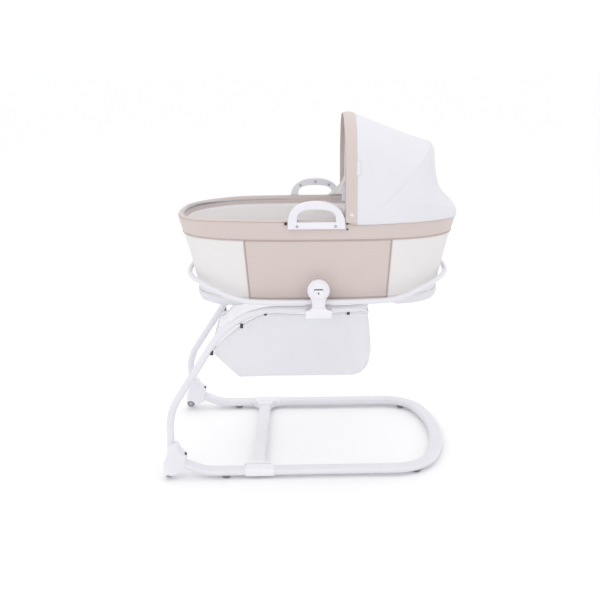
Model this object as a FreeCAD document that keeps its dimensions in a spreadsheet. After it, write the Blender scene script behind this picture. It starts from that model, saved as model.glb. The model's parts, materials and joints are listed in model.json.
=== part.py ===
import FreeCAD, Part
import os, math
import Sketcher
from FreeCAD import Vector as V, Placement, Rotation

# Bassinet on a C-frame stand.
# +Z up, X along the bassinet (head and hood at +X), near side at -Y.
# The origin is on the floor under the middle of the whole object.
# Local X = 0 is the line of the two hubs; HubShift moves that line in the row frame.

doc = FreeCAD.newDocument("BassinetOnStand")
sheet = doc.addObject("Spreadsheet::Sheet", "Dimensions")

DIMS = [
    ("HubShift", 24.1, "hub line to the middle of the object, along X"),
    ("RailHalf", 262, "half distance between the base rails"),
    ("RailWide", 42, "width of the flat-oval base tube"),
    ("RailThick", 20, "thickness of the flat-oval base tube"),
    ("RailZ", 20, "height of the base tube's centre"),
    ("FrontEndX", 387, "centre of the base tube at the head end"),
    ("FrontStartX", 232, "where the base tube starts to curve"),
    ("FrontCornerRad", 130, "corner radius of the D-shaped end"),
    ("TeeStart", -225, "foot end of the tee casting"),
    ("TeeLong", 87, "length of the tee casting"),
    ("CrossX", -189, "crossbar position"),
    ("CrossWide", 40, "crossbar width"),
    ("CrossThick", 18, "crossbar thickness"),
    ("RampX", -345, "where the rear rails start to rise"),
    ("RailEndX", -425, "end of the rear rails in the brackets"),
    ("RailEndRise", 33, "rise of the rear rails at their end"),
    ("PadDia", 24, "rubber pad diameter"),
    ("PadTall", 10, "rubber pad height"),
    ("PadRearX", -285, "rear pads"),
    ("PadFrontX", 298, "front pads"),
    ("PadFrontHalf", 244, "half distance between the front pads"),
    ("BracketHalf", 262, "half distance between the foot brackets"),
    ("BracketWide", 46, "foot bracket width"),
    ("WheelX", -457, "transport wheel position"),
    ("WheelHalf", 265, "half distance between the wheels"),
    ("WheelZ", 19, "height of the wheel axle"),
    ("WheelDia", 29, "transport wheel diameter"),
    ("WheelWide", 16, "transport wheel width"),
    ("AxleDia", 6, "wheel axle diameter"),
    ("TubeDia", 22, "stand tube diameter"),
    ("TubeTopZ", 511.5, "height of the top tubes"),
    ("LeanTan", 0.13, "inward lean of the uprights, tangent"),
    ("TopCrossX", 141, "centre of the top tube's cross part"),
    ("TopBendRad", 55, "bend radius of the top tube"),
    ("HubZ", 580, "height of the rocking axis"),
    ("HubDomeRad", 32, "radius of the hub's dome"),
    ("HubFace", 246, "outer face of the hub plate from the middle"),
    ("HubThick", 13, "hub plate thickness"),
    ("HubSleeveLong", 75, "hub sleeve length"),
    ("PinDia", 10, "rocking pin diameter"),
    ("SliderWide", 26, "lock slider width"),
    ("SliderTall", 24, "lock slider height"),
    ("SliderTravel", 3.5, "lock slider travel"),
    ("CradleDia", 15, "cradle loop tube diameter"),
    ("CradleHalfLong", 397, "half length of the cradle loop"),
    ("CradleHalfWide", 222.5, "half width of the cradle loop"),
    ("CradleZ", 539.5, "height of the cradle loop's long sides"),
    ("CradleRise", 53, "rise of the cradle loop at its ends"),
    ("RimHalfLong", 422, "half length of the rim"),
    ("RimHalfWide", 216, "half width of the rim"),
    ("RimTop", 782, "height of the rim"),
    ("BandLow", 722, "height of the band's lower seam"),
    ("SideTaper", 0.1, "taper of the long sides"),
    ("PanelLow", 540, "height of the panels' lower seam"),
    ("BottomMid", 533, "height of the bottom between the seams"),
    ("BottomEnd", 508, "height of the bottom's rounded ends"),
    ("PanelHalf", 207, "half length of the beige side panels"),
    ("SkinThick", 3, "outer fabric with its padding"),
    ("BoardZ", 545, "underside of the base board"),
    ("BoardThick", 6, "base board thickness"),
    ("MattressThick", 35, "mattress thickness"),
    ("RimTubeDia", 12, "rim frame tube diameter"),
    ("HandleX", -4.5, "middle of the carry handles along X"),
    ("HandleWide", 165, "carry handle width"),
    ("HandleTall", 79, "carry handle height"),
    ("HandleLow", 758, "underside of the carry handle"),
    ("HandleGrip", 22, "carry handle grip width"),
    ("HoodPivotX", 96, "hood hinge position"),
    ("HoodPivotZ", 797, "hood hinge height"),
    ("HoodFrontRad", 268, "front bow radius"),
    ("HoodMidRad", 303, "middle bow radius"),
    ("HoodMidDeg", 36.5, "middle bow angle above the rim"),
    ("HoodBowDia", 8, "hood bow diameter"),
    ("BasketFloorZ", 278, "storage basket floor height"),
    ("BasketFloorHalf", 150, "half width of the basket floor"),
    ("BasketTopHalf", 186, "half width of the basket at the top"),
]
D = {}
sheet.set("A1", "Name"); sheet.set("B1", "Value"); sheet.set("C1", "Use")
for i, (k, v, c) in enumerate(DIMS):
    r = i + 2
    sheet.set("A%d" % r, k); sheet.set("B%d" % r, str(v)); sheet.set("C%d" % r, c)
    sheet.setAlias("B%d" % r, k)
    D[k] = float(v)
doc.recompute()

FINAL = {}


def ex(s):
    """Puts the sheet's name in front of every alias in an expression."""
    import re
    return re.sub(r"\b([A-Z][A-Za-z]{3,})\b", lambda m: "Dimensions." + m.group(1) if m.group(1) in D else m.group(1), s)


def place(o, x="0", y="0", z="0", shift=True):
    """Binds the object's Placement to the sheet."""
    xs = ("HubShift + " + x) if shift else x
    o.setExpression("Placement.Base.x", ex(xs))
    if y != "0":
        o.setExpression("Placement.Base.y", ex(y))
    if z != "0":
        o.setExpression("Placement.Base.z", ex(z))
    FINAL[o.Label] = o
    return o


def feature(name, shape):
    """A computed piece; its shape is in hub coordinates and its Placement shifts it."""
    o = doc.addObject("Part::Feature", name)
    o.Label = name
    own = Placement(shape.Placement)
    o.Shape = shape
    o.Placement = Placement(V(D["HubShift"], 0, 0), Rotation()) * own
    o.setExpression("Placement.Base.x", ex("HubShift + (%.6f)" % own.Base.x))
    FINAL[name] = o
    return o


def body(name):
    b = doc.addObject("PartDesign::Body", name)
    b.Label = name
    return b


def plane(b, role):
    for f in b.Origin.OriginFeatures:
        if f.Role == role:
            return f


def sketch(b, role, name, off=None, rot=None):
    s = b.newObject("Sketcher::SketchObject", name)
    s.AttachmentSupport = [(plane(b, role), "")]
    s.MapMode = "FlatFace"
    if off or rot:
        s.AttachmentOffset = Placement(V(*(off or (0, 0, 0))), rot or Rotation())
    return s


def con(s, expr, *args):
    i = s.addConstraint(Sketcher.Constraint(*args))
    if expr:
        s.setExpression("Constraints[%d]" % i, ex(expr))
    return i


def circle(s, r, er=None, cx=0.0, cy=0.0):
    g = s.addGeometry(Part.Circle(V(cx, cy, 0), V(0, 0, 1), r), False)
    con(s, er, "Radius", g, r)
    if cx == 0 and cy == 0:
        con(s, None, "Coincident", g, 3, -1, 1)
    else:
        con(s, None, "DistanceX", -1, 1, g, 3, cx)
        con(s, None, "DistanceY", -1, 1, g, 3, cy)
    return g


def rect(s, w, h, ew=None, eh=None):
    """A rectangle centred on the sketch's origin."""
    p = [V(-w / 2, -h / 2, 0), V(w / 2, -h / 2, 0), V(w / 2, h / 2, 0), V(-w / 2, h / 2, 0)]
    g = [s.addGeometry(Part.LineSegment(p[i], p[(i + 1) % 4]), False) for i in range(4)]
    for i in range(4):
        con(s, None, "Coincident", g[i], 2, g[(i + 1) % 4], 1)
    con(s, None, "Horizontal", g[0]); con(s, None, "Horizontal", g[2])
    con(s, None, "Vertical", g[1]); con(s, None, "Vertical", g[3])
    con(s, None, "Symmetric", g[0], 1, g[1], 2, -1, 1)
    con(s, ew, "DistanceX", g[0], 1, g[0], 2, w)
    con(s, eh, "DistanceY", g[1], 1, g[1], 2, h)
    return g


def slot(s, w, h, ew=None, eh=None):
    """A flat oval, w wide and h thick, centred on the sketch's origin."""
    r = h / 2
    a = w / 2 - r
    l1 = s.addGeometry(Part.LineSegment(V(-a, -r, 0), V(a, -r, 0)), False)
    c1 = s.addGeometry(Part.ArcOfCircle(Part.Circle(V(a, 0, 0), V(0, 0, 1), r), -math.pi / 2, math.pi / 2), False)
    l2 = s.addGeometry(Part.LineSegment(V(a, r, 0), V(-a, r, 0)), False)
    c2 = s.addGeometry(Part.ArcOfCircle(Part.Circle(V(-a, 0, 0), V(0, 0, 1), r), math.pi / 2, 3 * math.pi / 2), False)
    con(s, None, "Tangent", l1, 2, c1, 1); con(s, None, "Tangent", c1, 2, l2, 1)
    con(s, None, "Tangent", l2, 2, c2, 1); con(s, None, "Tangent", c2, 2, l1, 1)
    con(s, None, "Horizontal", l1)
    con(s, None, "Symmetric", c1, 3, c2, 3, -1, 1)
    con(s, eh + " / 2" if eh else None, "Radius", c1, r)
    con(s, (ew + " - " + eh) if ew else None, "DistanceX", c2, 3, c1, 3, w - h)
    return l1


def poly(s, pts):
    pts = [q for i, q in enumerate(pts) if math.hypot(q[0] - pts[i - 1][0], q[1] - pts[i - 1][1]) > 1e-3]
    n = len(pts)
    g = [s.addGeometry(Part.LineSegment(V(*pts[i], 0), V(*pts[(i + 1) % n], 0)), False) for i in range(n)]
    for i in range(n):
        con(s, None, "Coincident", g[i], 2, g[(i + 1) % n], 1)
    return g


def path(s, pts, radii):
    """An open run of lines joined by tangent arcs, in the sketch's plane."""
    segs = fillet_path([V(p[0], p[1], 0) for p in pts], radii)
    gs = []
    for e in segs:
        gs.append(s.addGeometry(e, False))
    for i in range(len(gs) - 1):
        con(s, None, "Coincident", gs[i], 2 if not isinstance(segs[i], Part.ArcOfCircle) or not REV.get((id(segs), i)) else 1,
            gs[i + 1], 1 if not isinstance(segs[i + 1], Part.ArcOfCircle) or not REV.get((id(segs), i + 1)) else 2)
    return gs


REV = {}


def fillet_path(pts, radii):
    """Lines and tangent arcs through the corner points, as 2-D geometry in the XY plane."""
    out = []
    start = pts[0]
    for i in range(1, len(pts) - 1):
        a, p, b = pts[i - 1], pts[i], pts[i + 1]
        u = (a - p).normalize(); w = (b - p).normalize()
        ang = u.getAngle(w)
        r = radii[i - 1]
        t = r / math.tan(ang / 2)
        p1 = p + u * t; p2 = p + w * t
        bis = (u + w).normalize()
        c = p + bis * (r / math.sin(ang / 2))
        out.append(Part.LineSegment(start, p1))
        a1 = math.atan2(p1.y - c.y, p1.x - c.x); a2 = math.atan2(p2.y - c.y, p2.x - c.x)
        cross = (p1 - c).cross(p2 - c).z
        if cross > 0:
            if a2 < a1: a2 += 2 * math.pi
            arc = Part.ArcOfCircle(Part.Circle(c, V(0, 0, 1), r), a1, a2)
            REV[(id(out), len(out))] = False
        else:
            if a1 < a2: a1 += 2 * math.pi
            arc = Part.ArcOfCircle(Part.Circle(c, V(0, 0, 1), r), a2, a1)
            REV[(id(out), len(out))] = True
        out.append(arc)
        start = p2
    out.append(Part.LineSegment(start, pts[-1]))
    return out


def pad(b, s, length, expr=None, sym=False, rev=False, name="Pad"):
    p = b.newObject("PartDesign::Pad", name)
    p.Profile = s
    p.Length = length
    if expr:
        p.setExpression("Length", ex(expr))
    if sym:
        p.Midplane = True
    if rev:
        p.Reversed = True
    doc.recompute()
    return p


def pocket(b, s, length=None, expr=None, sym=False, rev=False, through=False, name="Pocket"):
    before = b.Shape.Volume
    p = b.newObject("PartDesign::Pocket", name)
    p.Profile = s
    if through:
        p.Type = 1
    else:
        p.Length = length
        if expr:
            p.setExpression("Length", ex(expr))
    if sym:
        p.Midplane = True
    if rev:
        p.Reversed = True
    doc.recompute()
    if b.Shape.Volume > before - 0.5:
        p.Reversed = not p.Reversed
        doc.recompute()
    assert b.Shape.Volume < before - 0.5, ("pocket cut nothing", b.Label, name)
    return p


def revolve(b, s, axis="V_Axis", name="Revolution"):
    r = b.newObject("PartDesign::Revolution", name)
    r.Profile = s
    r.ReferenceAxis = (s, [axis])
    r.Angle = 360
    doc.recompute()
    return r


def fillet(b, base, edges, r, name="Fillet"):
    f = b.newObject("PartDesign::Fillet", name)
    f.Base = (base, edges)
    f.Radius = r
    doc.recompute()
    if ("Invalid" in f.State) or ("Error" in f.State) or f.Shape.isNull() or not f.Shape.isValid():
        b.removeObject(f); doc.removeObject(f.Name)
        b.Tip = base
        doc.recompute()
        print("fillet dropped on", b.Label)
        return base
    return f


def edges_where(shape, fn):
    return ["Edge%d" % (i + 1) for i, e in enumerate(shape.Edges) if fn(e)]


def pipe_body(name, spine_role, pts, radii, prof, prof_role, prof_off, prof_rot=None):
    """A bent tube: a profile swept along a sketched path."""
    b = body(name)
    sp = sketch(b, spine_role, name + "_path")
    path(sp, pts, radii)
    doc.recompute()
    pr = sketch(b, prof_role, name + "_section", prof_off, prof_rot)
    prof(pr)
    doc.recompute()
    ap = b.newObject("PartDesign::AdditivePipe", name + "_sweep")
    ap.Profile = pr
    ap.Spine = (sp, ["Edge%d" % (i + 1) for i in range(len(sp.Shape.Edges))])
    doc.recompute()
    return b


# ------------------------------------------------------------------ base
def d_end():
    """Angle and end radius that make the D-shaped end meet its middle line."""
    r1 = D["FrontCornerRad"]; y0 = D["RailHalf"]
    lo, hi = math.radians(40), math.radians(85)
    for _ in range(60):
        a = (lo + hi) / 2
        r2 = (y0 - r1 * (1 - math.cos(a))) / math.cos(a)
        x = D["FrontStartX"] + r1 * math.sin(a) - r2 * math.sin(a) + r2
        if x > D["FrontEndX"]:
            lo = a
        else:
            hi = a
    return a, r2


b = body("base_front_loop")
sp = sketch(b, "XY_Plane", "front_loop_path")
x0 = D["TeeStart"] + D["TeeLong"] / 2 + 1
aa, r2 = d_end()
r1, yh, xs = D["FrontCornerRad"], D["RailHalf"], D["FrontStartX"]
c1 = V(xs, -yh + r1, 0)
p1 = V(xs + r1 * math.sin(aa), -yh + r1 - r1 * math.cos(aa), 0)
cx = D["FrontEndX"] - r2
g = []
g.append(sp.addGeometry(Part.LineSegment(V(x0, -yh, 0), V(xs, -yh, 0)), False))
g.append(sp.addGeometry(Part.ArcOfCircle(Part.Circle(c1, V(0, 0, 1), r1), -math.pi / 2, -math.pi / 2 + aa), False))
g.append(sp.addGeometry(Part.ArcOfCircle(Part.Circle(V(cx, 0, 0), V(0, 0, 1), r2), -math.pi / 2 + aa, math.pi / 2 - aa), False))
g.append(sp.addGeometry(Part.ArcOfCircle(Part.Circle(V(c1.x, -c1.y, 0), V(0, 0, 1), r1), math.pi / 2 - aa, math.pi / 2), False))
g.append(sp.addGeometry(Part.LineSegment(V(xs, yh, 0), V(x0, yh, 0)), False))
for i in range(4):
    con(sp, None, "Coincident", g[i], 2, g[i + 1], 1)
doc.recompute()
pr = sketch(b, "YZ_Plane", "front_loop_section", (-yh, 0, x0))
slot(pr, D["RailWide"], D["RailThick"], "RailWide", "RailThick")
doc.recompute()
ap = b.newObject("PartDesign::AdditivePipe", "front_loop_sweep")
ap.Profile = pr
ap.Spine = (sp, ["Edge%d" % (i + 1) for i in range(len(sp.Shape.Edges))])
doc.recompute()
place(b, "0", "0", "RailZ")

for side, sg in (("near", -1), ("far", 1)):
    xr = D["TeeStart"] + D["TeeLong"] / 2 - 1
    b = pipe_body("base_rear_rail_" + side, "XZ_Plane",
                  [(xr, 0), (D["RampX"], 0), (D["RailEndX"], D["RailEndRise"])], [130],
                  lambda s: slot(s, D["RailWide"], D["RailThick"], "RailWide", "RailThick"),
                  "YZ_Plane", (0, 0, xr))
    place(b, "0", ("-RailHalf" if sg < 0 else "RailHalf"), "RailZ")

    # tee casting: sleeve over the rail joint with a flared stub for the crossbar
    b = body("base_tee_" + side)
    s = sketch(b, "YZ_Plane", "tee_section")
    rect(s, D["RailWide"] + 4.4, D["RailThick"] + 4.4, "RailWide + 4.4", "RailThick + 4.4")
    p = pad(b, s, D["TeeLong"], "TeeLong")
    p = fillet(b, p, edges_where(p.Shape, lambda e: abs(e.BoundBox.XLength - D["TeeLong"]) < 0.1 and e.BoundBox.YLength < 0.1), 9)
    s = sketch(b, "XY_Plane", "tee_stub")
    xm = D["CrossX"] - D["TeeStart"]
    hw = D["CrossWide"] / 2 + 4
    yi = 22.0
    y1 = 44.0
    k = -sg
    gg = []
    rr = 16.0
    def L(a, c):
        return s.addGeometry(Part.LineSegment(V(a[0], k * a[1], 0), V(c[0], k * c[1], 0)), False)
    xl = xm - hw; xr2 = xm + hw
    # outline: flared foot on the sleeve, narrowing to the stub's mouth
    npts = 7
    left = []
    for i in range(npts):
        t = math.pi / 2 * i / (npts - 1)
        left.append((xl - rr + rr * math.sin(t), yi + rr - rr * math.cos(t)))
    right = [(2 * xm - q[0], q[1]) for q in reversed(left)]
    outline = left + [(xl, y1), (xr2, y1)] + right
    for i in range(len(outline)):
        L(outline[i], outline[(i + 1) % len(outline)])
    pad(b, s, D["CrossThick"] + 4, "CrossThick + 4", sym=True)
    s = sketch(b, "YZ_Plane", "tee_bore")
    slot(s, D["RailWide"] + 0.1, D["RailThick"] + 0.1)
    pocket(b, s, D["TeeLong"] * 2.5, sym=True)
    s = sketch(b, "XZ_Plane", "tee_mouth", (xm, 0, 0))
    slot(s, D["CrossWide"] + 0.1, D["CrossThick"] + 0.1)
    pocket(b, s, 60, rev=(sg > 0))
    place(b, "TeeStart", ("-RailHalf" if sg < 0 else "RailHalf"), "RailZ")

    # foot bracket: moulded elbow between the rail and the upright, with the wheel pocket
    b = body("foot_bracket_" + side)
    s = sketch(b, "XZ_Plane", "bracket_side")
    out = [(-453, 112), (-428, 112), (-420, 92), (-403, 76), (-405, 38), (-431, 19), (-446, 15), (-472, 16),
           (-469.5, 56), (-458, 84)]
    poly(s, [(q[0] - D["WheelX"], q[1] - D["WheelZ"]) for q in out])
    p = pad(b, s, D["BracketWide"], "BracketWide", sym=True)
    p = fillet(b, p, edges_where(p.Shape, lambda e: e.BoundBox.YLength < 0.1), 5)
    # wheel pocket, open below and on the inner side
    s = sketch(b, "XZ_Plane", "wheel_pocket", (0, 0, (12.5 if sg < 0 else -12.5)))
    circle(s, D["WheelDia"] / 2 + 2, "WheelDia / 2 + 2")
    yo = D["WheelHalf"] - D["BracketHalf"]
    pocket(b, s, 60, rev=(sg > 0))
    # axle hole
    s = sketch(b, "XZ_Plane", "axle_hole")
    circle(s, D["AxleDia"] / 2, "AxleDia / 2")
    pocket(b, s, 80, sym=True)
    place(b, "WheelX", ("-BracketHalf" if sg < 0 else "BracketHalf"), "WheelZ")

    # transport wheel, turned about its axle
    b = body("transport_wheel_" + side)
    s = sketch(b, "XY_Plane", "wheel_half")
    ri, ro, hwid = D["AxleDia"] / 2 + 0.05, D["WheelDia"] / 2, D["WheelWide"] / 2
    poly(s, [(ri, -hwid), (6, -hwid), (6.5, -hwid + 1.5), (ro - 5, -hwid + 1.5), (ro - 4, -hwid), (ro - 1.2, -hwid),
             (ro, -hwid + 1.6), (ro, hwid - 1.6), (ro - 1.2, hwid), (ro - 4, hwid), (ro - 5, hwid - 1.5),
             (6.5, hwid - 1.5), (6, hwid), (ri, hwid)])
    revolve(b, s)
    place(b, "WheelX", ("-WheelHalf" if sg < 0 else "WheelHalf"), "WheelZ")

    # snap button through the bracket's collar
    b = body("base_snap_button_" + side)
    s = sketch(b, "XZ_Plane", "button_half")
    poly(s, [(0, -3), (6.2, -3), (6.2, -1.2), (4, -1.2), (4, 24.6), (2.8, 26.2), (0, 26.8)])
    revolve(b, s)
    slope = math.atan2(D["RailEndRise"], D["RampX"] - D["RailEndX"])
    FINAL[b.Label] = b
    bx = -416.5
    zc = D["RailZ"] + (D["RampX"] - bx) * math.tan(slope)
    n = V(math.sin(slope), 0, math.cos(slope))
    pos = V(bx, sg * D["RailHalf"], zc) + n * (D["RailThick"] / 2 - 1.0)
    b.Placement = Placement(V(D["HubShift"], 0, 0) + pos, Rotation(V(0, 1, 0), math.degrees(slope)))

# crossbar
b = body("base_crossbar")
s = sketch(b, "XZ_Plane", "crossbar_section")
slot(s, D["CrossWide"], D["CrossThick"], "CrossWide", "CrossThick")
pad(b, s, 2 * (D["RailHalf"] - 23), "2 * (RailHalf - 23)", sym=True)
place(b, "CrossX", "0", "RailZ")

# ------------------------------------------------------------------ stand tubes
tilt = math.atan(D["LeanTan"])


def s_of(z):
    return (z - 30.0) / math.cos(tilt)


topz = D["TubeTopZ"]
top_half = D["RailHalf"] - D["LeanTan"] * (topz - 30.0)
for side, sg in (("near", -1), ("far", 1)):
    b = pipe_body("upright_tube_" + side, "XZ_Plane",
                  [(-1.5, s_of(topz)), (-250, s_of(topz)), (-449, s_of(205)), (-449, s_of(72))], [240, 165],
                  lambda s: circle(s, D["TubeDia"] / 2, "TubeDia / 2"),
                  "YZ_Plane", (0, s_of(topz), -1.5))
    FINAL[b.Label] = b
    ang = -math.degrees(tilt) if sg < 0 else math.degrees(tilt)
    b.Placement = Placement(V(D["HubShift"], sg * D["RailHalf"], 30.0), Rotation(V(1, 0, 0), ang))

b = pipe_body("stand_top_tube", "XY_Plane",
              [(1.5, -top_half), (D["TopCrossX"], -top_half), (D["TopCrossX"], top_half), (1.5, top_half)],
              [D["TopBendRad"], D["TopBendRad"]],
              lambda s: circle(s, D["TubeDia"] / 2, "TubeDia / 2"),
              "YZ_Plane", (-top_half, 0, 1.5))
place(b, "0", "0", "TubeTopZ")
doc.recompute()


def shape_of(name):
    """A piece's shape in hub coordinates."""
    s = FINAL[name].Shape.copy()
    s.translate(V(-D["HubShift"], 0, 0))
    return s


# the brackets are bored for the tubes that plug into them
for side, sg in (("near", -1), ("far", 1)):
    o = FINAL["foot_bracket_" + side]
    base = o.Shape.copy()
    sh = base.copy()
    tube = FINAL["upright_tube_" + side].Shape
    rail = FINAL["base_rear_rail_" + side].Shape
    sh = sh.cut(tube).cut(rail).cut(FINAL["base_snap_button_" + side].Shape)
    hole = Part.makeCylinder(4.15, 40, V(0, 0, 0), V(0, 0, 1))
    hole.Placement = FINAL["base_snap_button_" + side].Placement
    sh = sh.cut(hole)
    sh = sh.removeSplitter()
    if len(sh.Solids) > 1:
        sh = max(sh.Solids, key=lambda q: q.Volume)
    name = "foot_bracket_" + side
    o.Label = name + "_blank"
    del FINAL[name]
    sh.translate(V(-D["HubShift"], 0, 0))
    feature(name, sh)
    # the rail has a seat for the button
    o = FINAL["base_rear_rail_" + side]
    lip = Part.makeCylinder(6.4, 6.3, V(0, 0, -7.5), V(0, 0, 1)).fuse(Part.makeCylinder(4.15, 30, V(0, 0, -2), V(0, 0, 1)))
    lip.Placement = FINAL["base_snap_button_" + side].Placement
    sh = o.Shape.cut(lip).removeSplitter()
    nm = "base_rear_rail_" + side
    o.Label = nm + "_blank"
    del FINAL[nm]
    sh.translate(V(-D["HubShift"], 0, 0))
    feature(nm, sh)


# ------------------------------------------------------------------ small groups
def compound(name, solids):
    feature(name, Part.makeCompound(solids) if len(solids) > 1 else solids[0])


def cyl(r, length, pos, axis):
    return Part.makeCylinder(r, length, V(*pos), V(*axis))


pads = []
for x, y in ((D["PadRearX"], D["RailHalf"]), (D["PadFrontX"], D["PadFrontHalf"])):
    for sg in (-1, 1):
        c = Part.makeCone(D["PadDia"] / 2 - 1.5, D["PadDia"] / 2, 3, V(x, sg * y, 0), V(0, 0, 1))
        c = c.fuse(cyl(D["PadDia"] / 2, D["PadTall"] - 3, (x, sg * y, 3), (0, 0, 1))).removeSplitter()
        pads.append(c)
compound("base_foot_pads", pads)

axles = []
for sg in (-1, 1):
    yo = D["BracketHalf"] + D["BracketWide"] / 2
    yi = D["BracketHalf"] - D["BracketWide"] / 2
    yh = D["WheelHalf"] - D["WheelWide"] / 2 - 0.4
    a = cyl(D["AxleDia"] / 2, yo - yh, (D["WheelX"], sg * yh, D["WheelZ"]), (0, sg, 0))
    h = cyl(5.5, 3.0, (D["WheelX"], sg * (yh - 3.0), D["WheelZ"]), (0, sg, 0))
    axles.append(a.fuse(h).removeSplitter())
compound("wheel_axles", axles)

# ------------------------------------------------------------------ hubs
zh = D["HubZ"]
HUB = {}
for side, sg in (("near", -1), ("far", 1)):
    face = D["HubFace"]
    th = D["HubThick"]
    # keyhole outline of the plate: dome, neck and foot
    R = D["HubDomeRad"]
    def keyhole(R, inset, zlow, xfoot):
        pts = []
        a0 = math.radians(-48)
        n = 28
        for i in range(n + 1):
            t = a0 + (math.pi - 2 * a0) * i / n
            pts.append((R * math.cos(t), R * math.sin(t)))
        return pts
    dome = keyhole(R, 0, 0, 0)
    rightdown = [(19.8, -38), (18.6, -46), (19.5, -52), (23, -57), (29, -60), (37.5, -61.5), (37.5, -83)]
    outline = dome + [(-q[0], q[1]) for q in rightdown] + list(reversed(rightdown))
    b = body("hub_blank_" + side)
    s = sketch(b, "XZ_Plane", "hub_outline", (0, 0, (face - th) * (1 if sg < 0 else -1)))
    poly(s, outline)
    p = pad(b, s, th, "HubThick", rev=(sg > 0))
    # foot block and sleeve around the tube joint, under the cradle loop
    s = sketch(b, "YZ_Plane", "hub_sleeve")
    zc = topz - zh
    yt = top_half
    pts = [(face, zc - 14.5), (face, zc + 4.5), (yt + 13, zc + 4.5)]
    n = 12
    for i in range(n + 1):
        t = math.radians(20) + math.radians(140 + 20) * i / n
        pts.append((yt + 15 * math.cos(t), zc + 15 * math.sin(t)))
    pts += [(yt - 15, zc), (yt - 14, zc - 8), (yt - 9, zc - 14.5)]
    poly(s, [(sg * q[0], q[1]) for q in pts])
    pad(b, s, D["HubSleeveLong"], "HubSleeveLong", sym=True)
    s = sketch(b, "YZ_Plane", "hub_bore", (sg * yt, zc, 0))
    circle(s, D["TubeDia"] / 2 + 0.03, "TubeDia / 2 + 0.03")
    pocket(b, s, 200, sym=True)
    s = sketch(b, "XZ_Plane", "hub_pin_hole")
    circle(s, D["PinDia"] / 2, "PinDia / 2")
    pocket(b, s, 600, sym=True)
    b.setExpression("Placement.Base.z", ex("HubZ"))
    b.setExpression("Placement.Base.x", ex("HubShift"))
    doc.recompute()
    sh = b.Shape.copy()
    # soften the outer rim of the plate
    try:
        es = [e for e in sh.Edges if abs(abs(e.BoundBox.YMin) - face) < 0.05 and abs(abs(e.BoundBox.YMax) - face) < 0.05 and e.BoundBox.ZMin > zh - 55]
        sh2 = sh.makeChamfer(2.2, es)
        if sh2.isValid() and len(sh2.Solids) == 1:
            sh = sh2
    except Exception as e:
        print("hub chamfer left out", e)
    b.Label = "hub_housing_" + side + "_blank"
    sh.translate(V(-D["HubShift"], 0, 0))
    HUB[side] = sh

    # face cover, raised on the plate, with the slider's window
    def plate(outl, y0, t):
        w = Part.makePolygon([V(q[0], sg * y0, zh + q[1]) for q in outl] + [V(outl[0][0], sg * y0, zh + outl[0][1])])
        return Part.Face(w).extrude(V(0, sg * t, 0))
    Rc = R - 5
    pts = []
    a0 = math.radians(-45)
    for i in range(25):
        t = a0 + (math.pi - 2 * a0) * i / 24
        pts.append((Rc * math.cos(t), Rc * math.sin(t)))
    low = [(15.5, -34), (14.5, -44), (12, -49)]
    outc = pts + [(-q[0], q[1]) for q in low] + list(reversed(low))
    cov = plate(outc, face, 4.0)
    sw, st, tr = D["SliderWide"], D["SliderTall"], D["SliderTravel"]
    ztop = 3.2            # upper edge of the slider, below the dark slot
    win = Part.makeBox(sw + 0.6, 10, st + tr + 0.6, V(-(sw / 2 + 0.3), min(sg * (face - 1), sg * (face + 9)), zh + ztop - st - 0.3))
    cov = cov.cut(win)
    try:
        es = [e for e in cov.Edges if abs(abs(e.CenterOfMass.y) - (face + 4)) < 0.05 and abs(e.CenterOfMass.x) ** 2 + (e.CenterOfMass.z - zh) ** 2 > 23 ** 2]
        c2 = cov.makeChamfer(1.4, es)
        if c2.isValid() and len(c2.Solids) == 1:
            cov = c2
    except Exception as e:
        print("cover chamfer left out", e)
    feature("hub_cover_" + side, cov)

    # lock slider with a small raised grip below the slot
    sl = Part.makeBox(sw, 3.8, st, V(-sw / 2, min(sg * face, sg * (face + 3.8)) , zh + ztop - st))
    if sg < 0:
        sl.translate(V(0, 0, 0))
    arrow = Part.Face(Part.makePolygon([V(-2.6, sg * (face + 3.8), zh - 3.5), V(2.6, sg * (face + 3.8), zh - 3.5), V(0, sg * (face + 3.8), zh - 11), V(-2.6, sg * (face + 3.8), zh - 3.5)])).extrude(V(0, -sg * 1.0, 0))
    sl = sl.cut(arrow)
    feature("rocking_lock_slider_" + side, sl)

pins = []
for sg in (-1, 1):
    pins.append(cyl(D["PinDia"] / 2, 33.5, (0, sg * 212, zh), (0, sg, 0)))
compound("rocking_pins", pins)

screws = []
for sg in (-1, 1):
    for x in (-26, 26):
        screws.append(cyl(2.2, 15, (x, sg * (top_half + 18), topz - 16.0), (0, 0, 1)).fuse(cyl(4, 2.2, (x, sg * (top_half + 18), topz - 16.7), (0, 0, 1))).removeSplitter())
# the screws' holes in the hub feet
for side, sg in (("near", -1), ("far", 1)):
    sh = HUB[side]
    for x in (-26, 26):
        sh = sh.cut(cyl(2.2, 15, (x, sg * (top_half + 18), topz - 16.0), (0, 0, 1))).cut(cyl(4, 2.2, (x, sg * (top_half + 18), topz - 16.7), (0, 0, 1)))
    feature("hub_housing_" + side, sh)
compound("hub_foot_screws", screws)


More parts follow.
